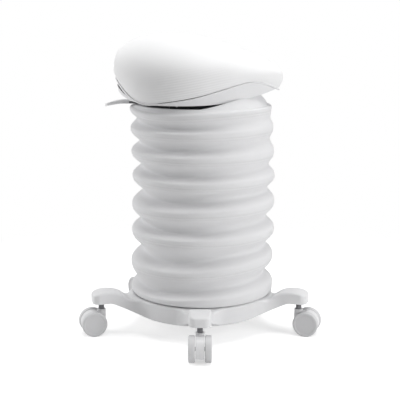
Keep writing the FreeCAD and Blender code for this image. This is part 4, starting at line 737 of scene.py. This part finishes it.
def lip_surface(spokes):
    """The bead along the pan's upper edge: a small ellipse carried round the outline just under the seam.

    It stands out from the pan's wall by a little at the back and by more at the nose."""
    seam = curve_through(SEAM)
    edge_x, out_x, out_y = saddle_outline(spokes)
    reach = np.hypot(out_x, out_y)
    wall = pan_inset(seam(edge_x))
    proud = 0.7 + 1.6 * np.clip((edge_x - 20) / 120, 0, 1)
    turn = np.linspace(0, TURN, 13)[:-1, None]
    inset = wall + 0.4 - (proud + 0.4) * np.sin(turn)
    height = seam(edge_x) - 2.7 + 1.3 * np.cos(turn)
    scale = 1 - inset / reach
    return np.stack([CENTRE_X + out_x * scale, out_y * scale, height], -1) * MM


class STOOL_OT_saddle(bpy.types.Operator):
    """Build the padded saddle with its ribbed knit cover"""
    bl_idname = "stool.saddle"
    bl_label = "Padded saddle"

    def execute(self, context):
        sizes = context.scene.stool_saddle
        points, top, foot = saddle_surface(sizes)
        rows = len(points)
        faces = saddle_faces(rows, sizes.spokes)
        flat = np.concatenate([points.reshape(-1, 3), top, foot])
        above = flat[:, 2] / MM - curve_through(SEAM)(flat[:, 0] / MM)
        share = np.clip((above - 3) / 25, 0, 1)[:, None]
        flat = flat + filled(flat, faces, sizes.plump) * share * share * (3 - 2 * share)
        piece = add_piece("saddle_cushion", flat, faces, saddle_knit(sizes.colour, sizes.rib_pitch))
        up = np.linalg.norm(np.diff(points[::-1], axis=0), axis=-1)
        climb = np.concatenate([np.zeros((1, sizes.spokes)), np.cumsum(up, 0)])[::-1]
        point_values(piece, "climb", np.append(climb.ravel(), [climb.max(), 0.0]))
        point_values(piece, "lengthwise", flat[:, 0])
        x, z = flat[:, 0] / MM, flat[:, 2] / MM
        low = np.clip((535 - z) / 50, 0, 1) * np.clip((90 - np.abs(x + 10)) / 50, 0, 1)
        point_values(piece, "flank", low)
        smooth = piece.modifiers.new("smooth", "SUBSURF")
        smooth.levels = smooth.render_levels = 1
        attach(piece, "seat")
        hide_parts("seat_cushion")
        return {"FINISHED"}


class STOOL_OT_lip(bpy.types.Operator):
    """Build the bead along the pan's upper edge"""
    bl_idname = "stool.lip"
    bl_label = "Pan lip"

    def execute(self, context):
        rows = lip_surface(context.scene.stool_saddle.spokes)
        count, spokes = rows.shape[:2]
        # The last row of faces joins back to the first.
        closed = grid_faces(count + 1, spokes) % (count * spokes)
        piece = add_piece("pan_lip", rows, closed, moulded_plastic("lip_plastic", context.scene.stool_finish.shell))
        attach(piece, "seat")
        return {"FINISHED"}


class STOOL_OT_finishes(bpy.types.Operator):
    """Give every modelled piece of the frame its procedural finish"""
    bl_idname = "stool.finishes"
    bl_label = "Finishes"

    def execute(self, context):
        colours = context.scene.stool_finish
        made = {
            "white_plastic": moulded_plastic("shell_plastic", colours.shell),
            "wheel_plastic": moulded_plastic("wheel_plastic_satin", colours.wheel, 0.5, 0.00003),
            "knit_cloth": moulded_plastic("hidden_cloth", context.scene.stool_sleeve.colour, 0.8),
            "seat_cloth": moulded_plastic("hidden_cover", context.scene.stool_saddle.colour, 0.8),
            "dark_steel": painted_steel("dark_steel_coat", colours.dark_steel),
            "bright_steel": brushed_metal("bright_steel_turned", colours.bright_steel, 0.28, (1, 1, 9)),
            "cast_metal": cast_metal("cast_metal_skin", colours.cast),
            "bronze": brushed_metal("bronze_sintered", colours.bronze, 0.42, (3, 3, 3), 0.00004),
            "rubber": matte_rubber("rubber_matte", colours.rubber),
            "bearing_plastic": moulded_plastic("bearing_plastic_dull", colours.bearing, 0.55),
            # The board's near-black colour paints the shade of the seam between the cushion and the pan.
            "board": plywood("plywood_board", colours.board),
        }
        for name, node in NODES.items():
            slots = [s.material.name.split(".")[0] for s in node.material_slots if s.material]
            if not slots or slots[0] not in made:
                raise RuntimeError(f"{name} has no known finish: {slots}")
            for slot in node.material_slots:
                slot.material = made[slots[0]]
        return {"FINISHED"}


# Studio: each lamp's name, place, aim, size and the property that holds its power, and where the floor turns white

LAMPS = (("key_lamp", (1.85, -1.2, 0.85), (0, 0, 0.3), (1.0, 1.2), "key"),
         ("rim_lamp", (-1.8, 0.35, 0.8), (0, 0, 0.25), (0.6, 1.2), "rim"),
         ("top_lamp", (0.1, -0.05, 2.0), (0, 0, 0.4), (1.4, 1.4), "overhead"))
FADE_START, FADE_WIDTH = 0.42, 0.5


def lamp(name, place, aim, size, power):
    """A soft square lamp at a place, turned to face a point."""
    light = bpy.data.lights.new(name, "AREA")
    light.shape = "RECTANGLE"
    light.size, light.size_y = size
    light.energy = power
    holder = bpy.data.objects.new(name, light)
    bpy.context.scene.collection.objects.link(holder)
    away = np.array(place, float) - np.array(aim, float)
    away /= np.linalg.norm(away)
    side = np.cross((0, 0, 1), away)
    side /= np.linalg.norm(side)
    up = np.cross(away, side)
    turn = np.eye(4)
    turn[:3, 0], turn[:3, 1], turn[:3, 2], turn[:3, 3] = side, up, away, place
    holder.matrix_world = Matrix(turn.tolist())
    return holder


def seen_directly(make):
    """1 where the camera, a reflection or a view through glass sees the surface, and 0 for its light on others."""
    rays = make.node("ShaderNodeLightPath")
    seen = make.out(rays, "Is Camera Ray").math("MAXIMUM", make.out(rays, "Is Glossy Ray"))
    return seen.math("MAXIMUM", make.out(rays, "Is Transmission Ray"))


class STOOL_OT_studio(bpy.types.Operator):
    """Set up the camera, the pale floor, the soft lamps and the room's even light"""
    bl_idname = "stool.studio"
    bl_label = "Studio"

    def execute(self, context):
        scene = context.scene
        sizes = scene.stool_studio
        camera = bpy.data.objects.new("camera", bpy.data.cameras.new("camera"))
        camera.location = (0, -sizes.distance, sizes.height)
        camera.rotation_euler = (math.pi / 2 - sizes.pitch, 0, 0)
        camera.data.lens = sizes.lens
        camera.data.sensor_width = 36
        camera.data.clip_end = 50
        scene.collection.objects.link(camera)
        scene.camera = camera
        scene.view_settings.view_transform = "Standard"

        make = new_finish("studio_floor")
        where = make.place()
        mottle = make.noise(where, 3.0, 3.0, 0.5)
        colour = make.tint(mottle, shaded(sizes.floor, 0.995), shaded(sizes.floor, 1.005))
        diffuse = make.node("ShaderNodeBsdfDiffuse", Color=colour)
        seen = seen_directly(make)
        glow = make.node("ShaderNodeEmission", Color=(1, 1, 1, 1), Strength=seen * sizes.floor_glow)
        lit = make.node("ShaderNodeAddShader", i0=make.out(diffuse, "BSDF"), i1=make.out(glow, "Emission"))
        white = make.node("ShaderNodeEmission", Color=(1, 1, 1, 1), Strength=1.0)
        away = make.out(make.node("ShaderNodeVectorMath", {"operation": "LENGTH"}, i0=where), "Value")
        fade = ((away - FADE_START) / FADE_WIDTH).at_least(0.0).at_most(1.0) * seen
        both = make.node("ShaderNodeMixShader", i0=fade, i1=make.out(lit, "Shader"), i2=make.out(white, "Emission"))
        make.node("ShaderNodeOutputMaterial", Surface=make.out(both, "Shader"))
        radius = np.array([0.5, 2.0, 30.0])[:, None]
        rings, spokes = len(radius), 48
        angle = np.arange(spokes) * TURN / spokes
        ground = np.stack([radius * np.cos(angle), radius * np.sin(angle), np.zeros((rings, spokes))], -1)
        points = np.concatenate([ground.reshape(-1, 3), [[0, 0, 0]]])
        faces = grid_faces(rings, spokes)[:, ::-1].tolist()
        faces += [[rings * spokes, j, (j + 1) % spokes] for j in range(spokes)]
        floor = add_piece("floor", points, faces, make.owner)

        world = bpy.data.worlds.new("room")
        scene.world = world
        room = Finish(world)
        strength = seen_directly(room) * (1 - sizes.ambient) + sizes.ambient
        back = room.node("ShaderNodeBackground", Color=(1, 1, 1, 1), Strength=strength)
        room.node("ShaderNodeOutputWorld", Surface=room.out(back, "Background"))

        for name, place, aim, size, power in LAMPS:
            lamp(name, place, aim, size, getattr(sizes, power))
        return {"FINISHED"}


OPERATORS = (STOOL_OT_studio, STOOL_OT_sleeve, STOOL_OT_saddle, STOOL_OT_lip, STOOL_OT_finishes)


class STOOL_PT_panel(bpy.types.Panel):
    """The stool's pieces and its studio"""
    bl_label = "Stool"
    bl_idname = "STOOL_PT_panel"
    bl_space_type = "VIEW_3D"
    bl_region_type = "UI"
    bl_category = "Stool"

    def draw(self, context):
        for operator in OPERATORS:
            self.layout.operator(operator.bl_idname)


def register():
    for group in GROUPS.values():
        bpy.utils.register_class(group)
    for name, group in GROUPS.items():
        setattr(bpy.types.Scene, name, PointerProperty(type=group))
    for operator in OPERATORS:
        bpy.utils.register_class(operator)
    bpy.utils.register_class(STOOL_PT_panel)


def unregister():
    bpy.utils.unregister_class(STOOL_PT_panel)
    for operator in reversed(OPERATORS):
        bpy.utils.unregister_class(operator)
    for name, group in GROUPS.items():
        delattr(bpy.types.Scene, name)
        bpy.utils.unregister_class(group)


def main():
    register()
    bpy.ops.stool.studio()
    bpy.ops.stool.sleeve()
    bpy.ops.stool.saddle()
    bpy.ops.stool.lip()
    bpy.ops.stool.finishes()


if __name__ == "__main__":
    main()
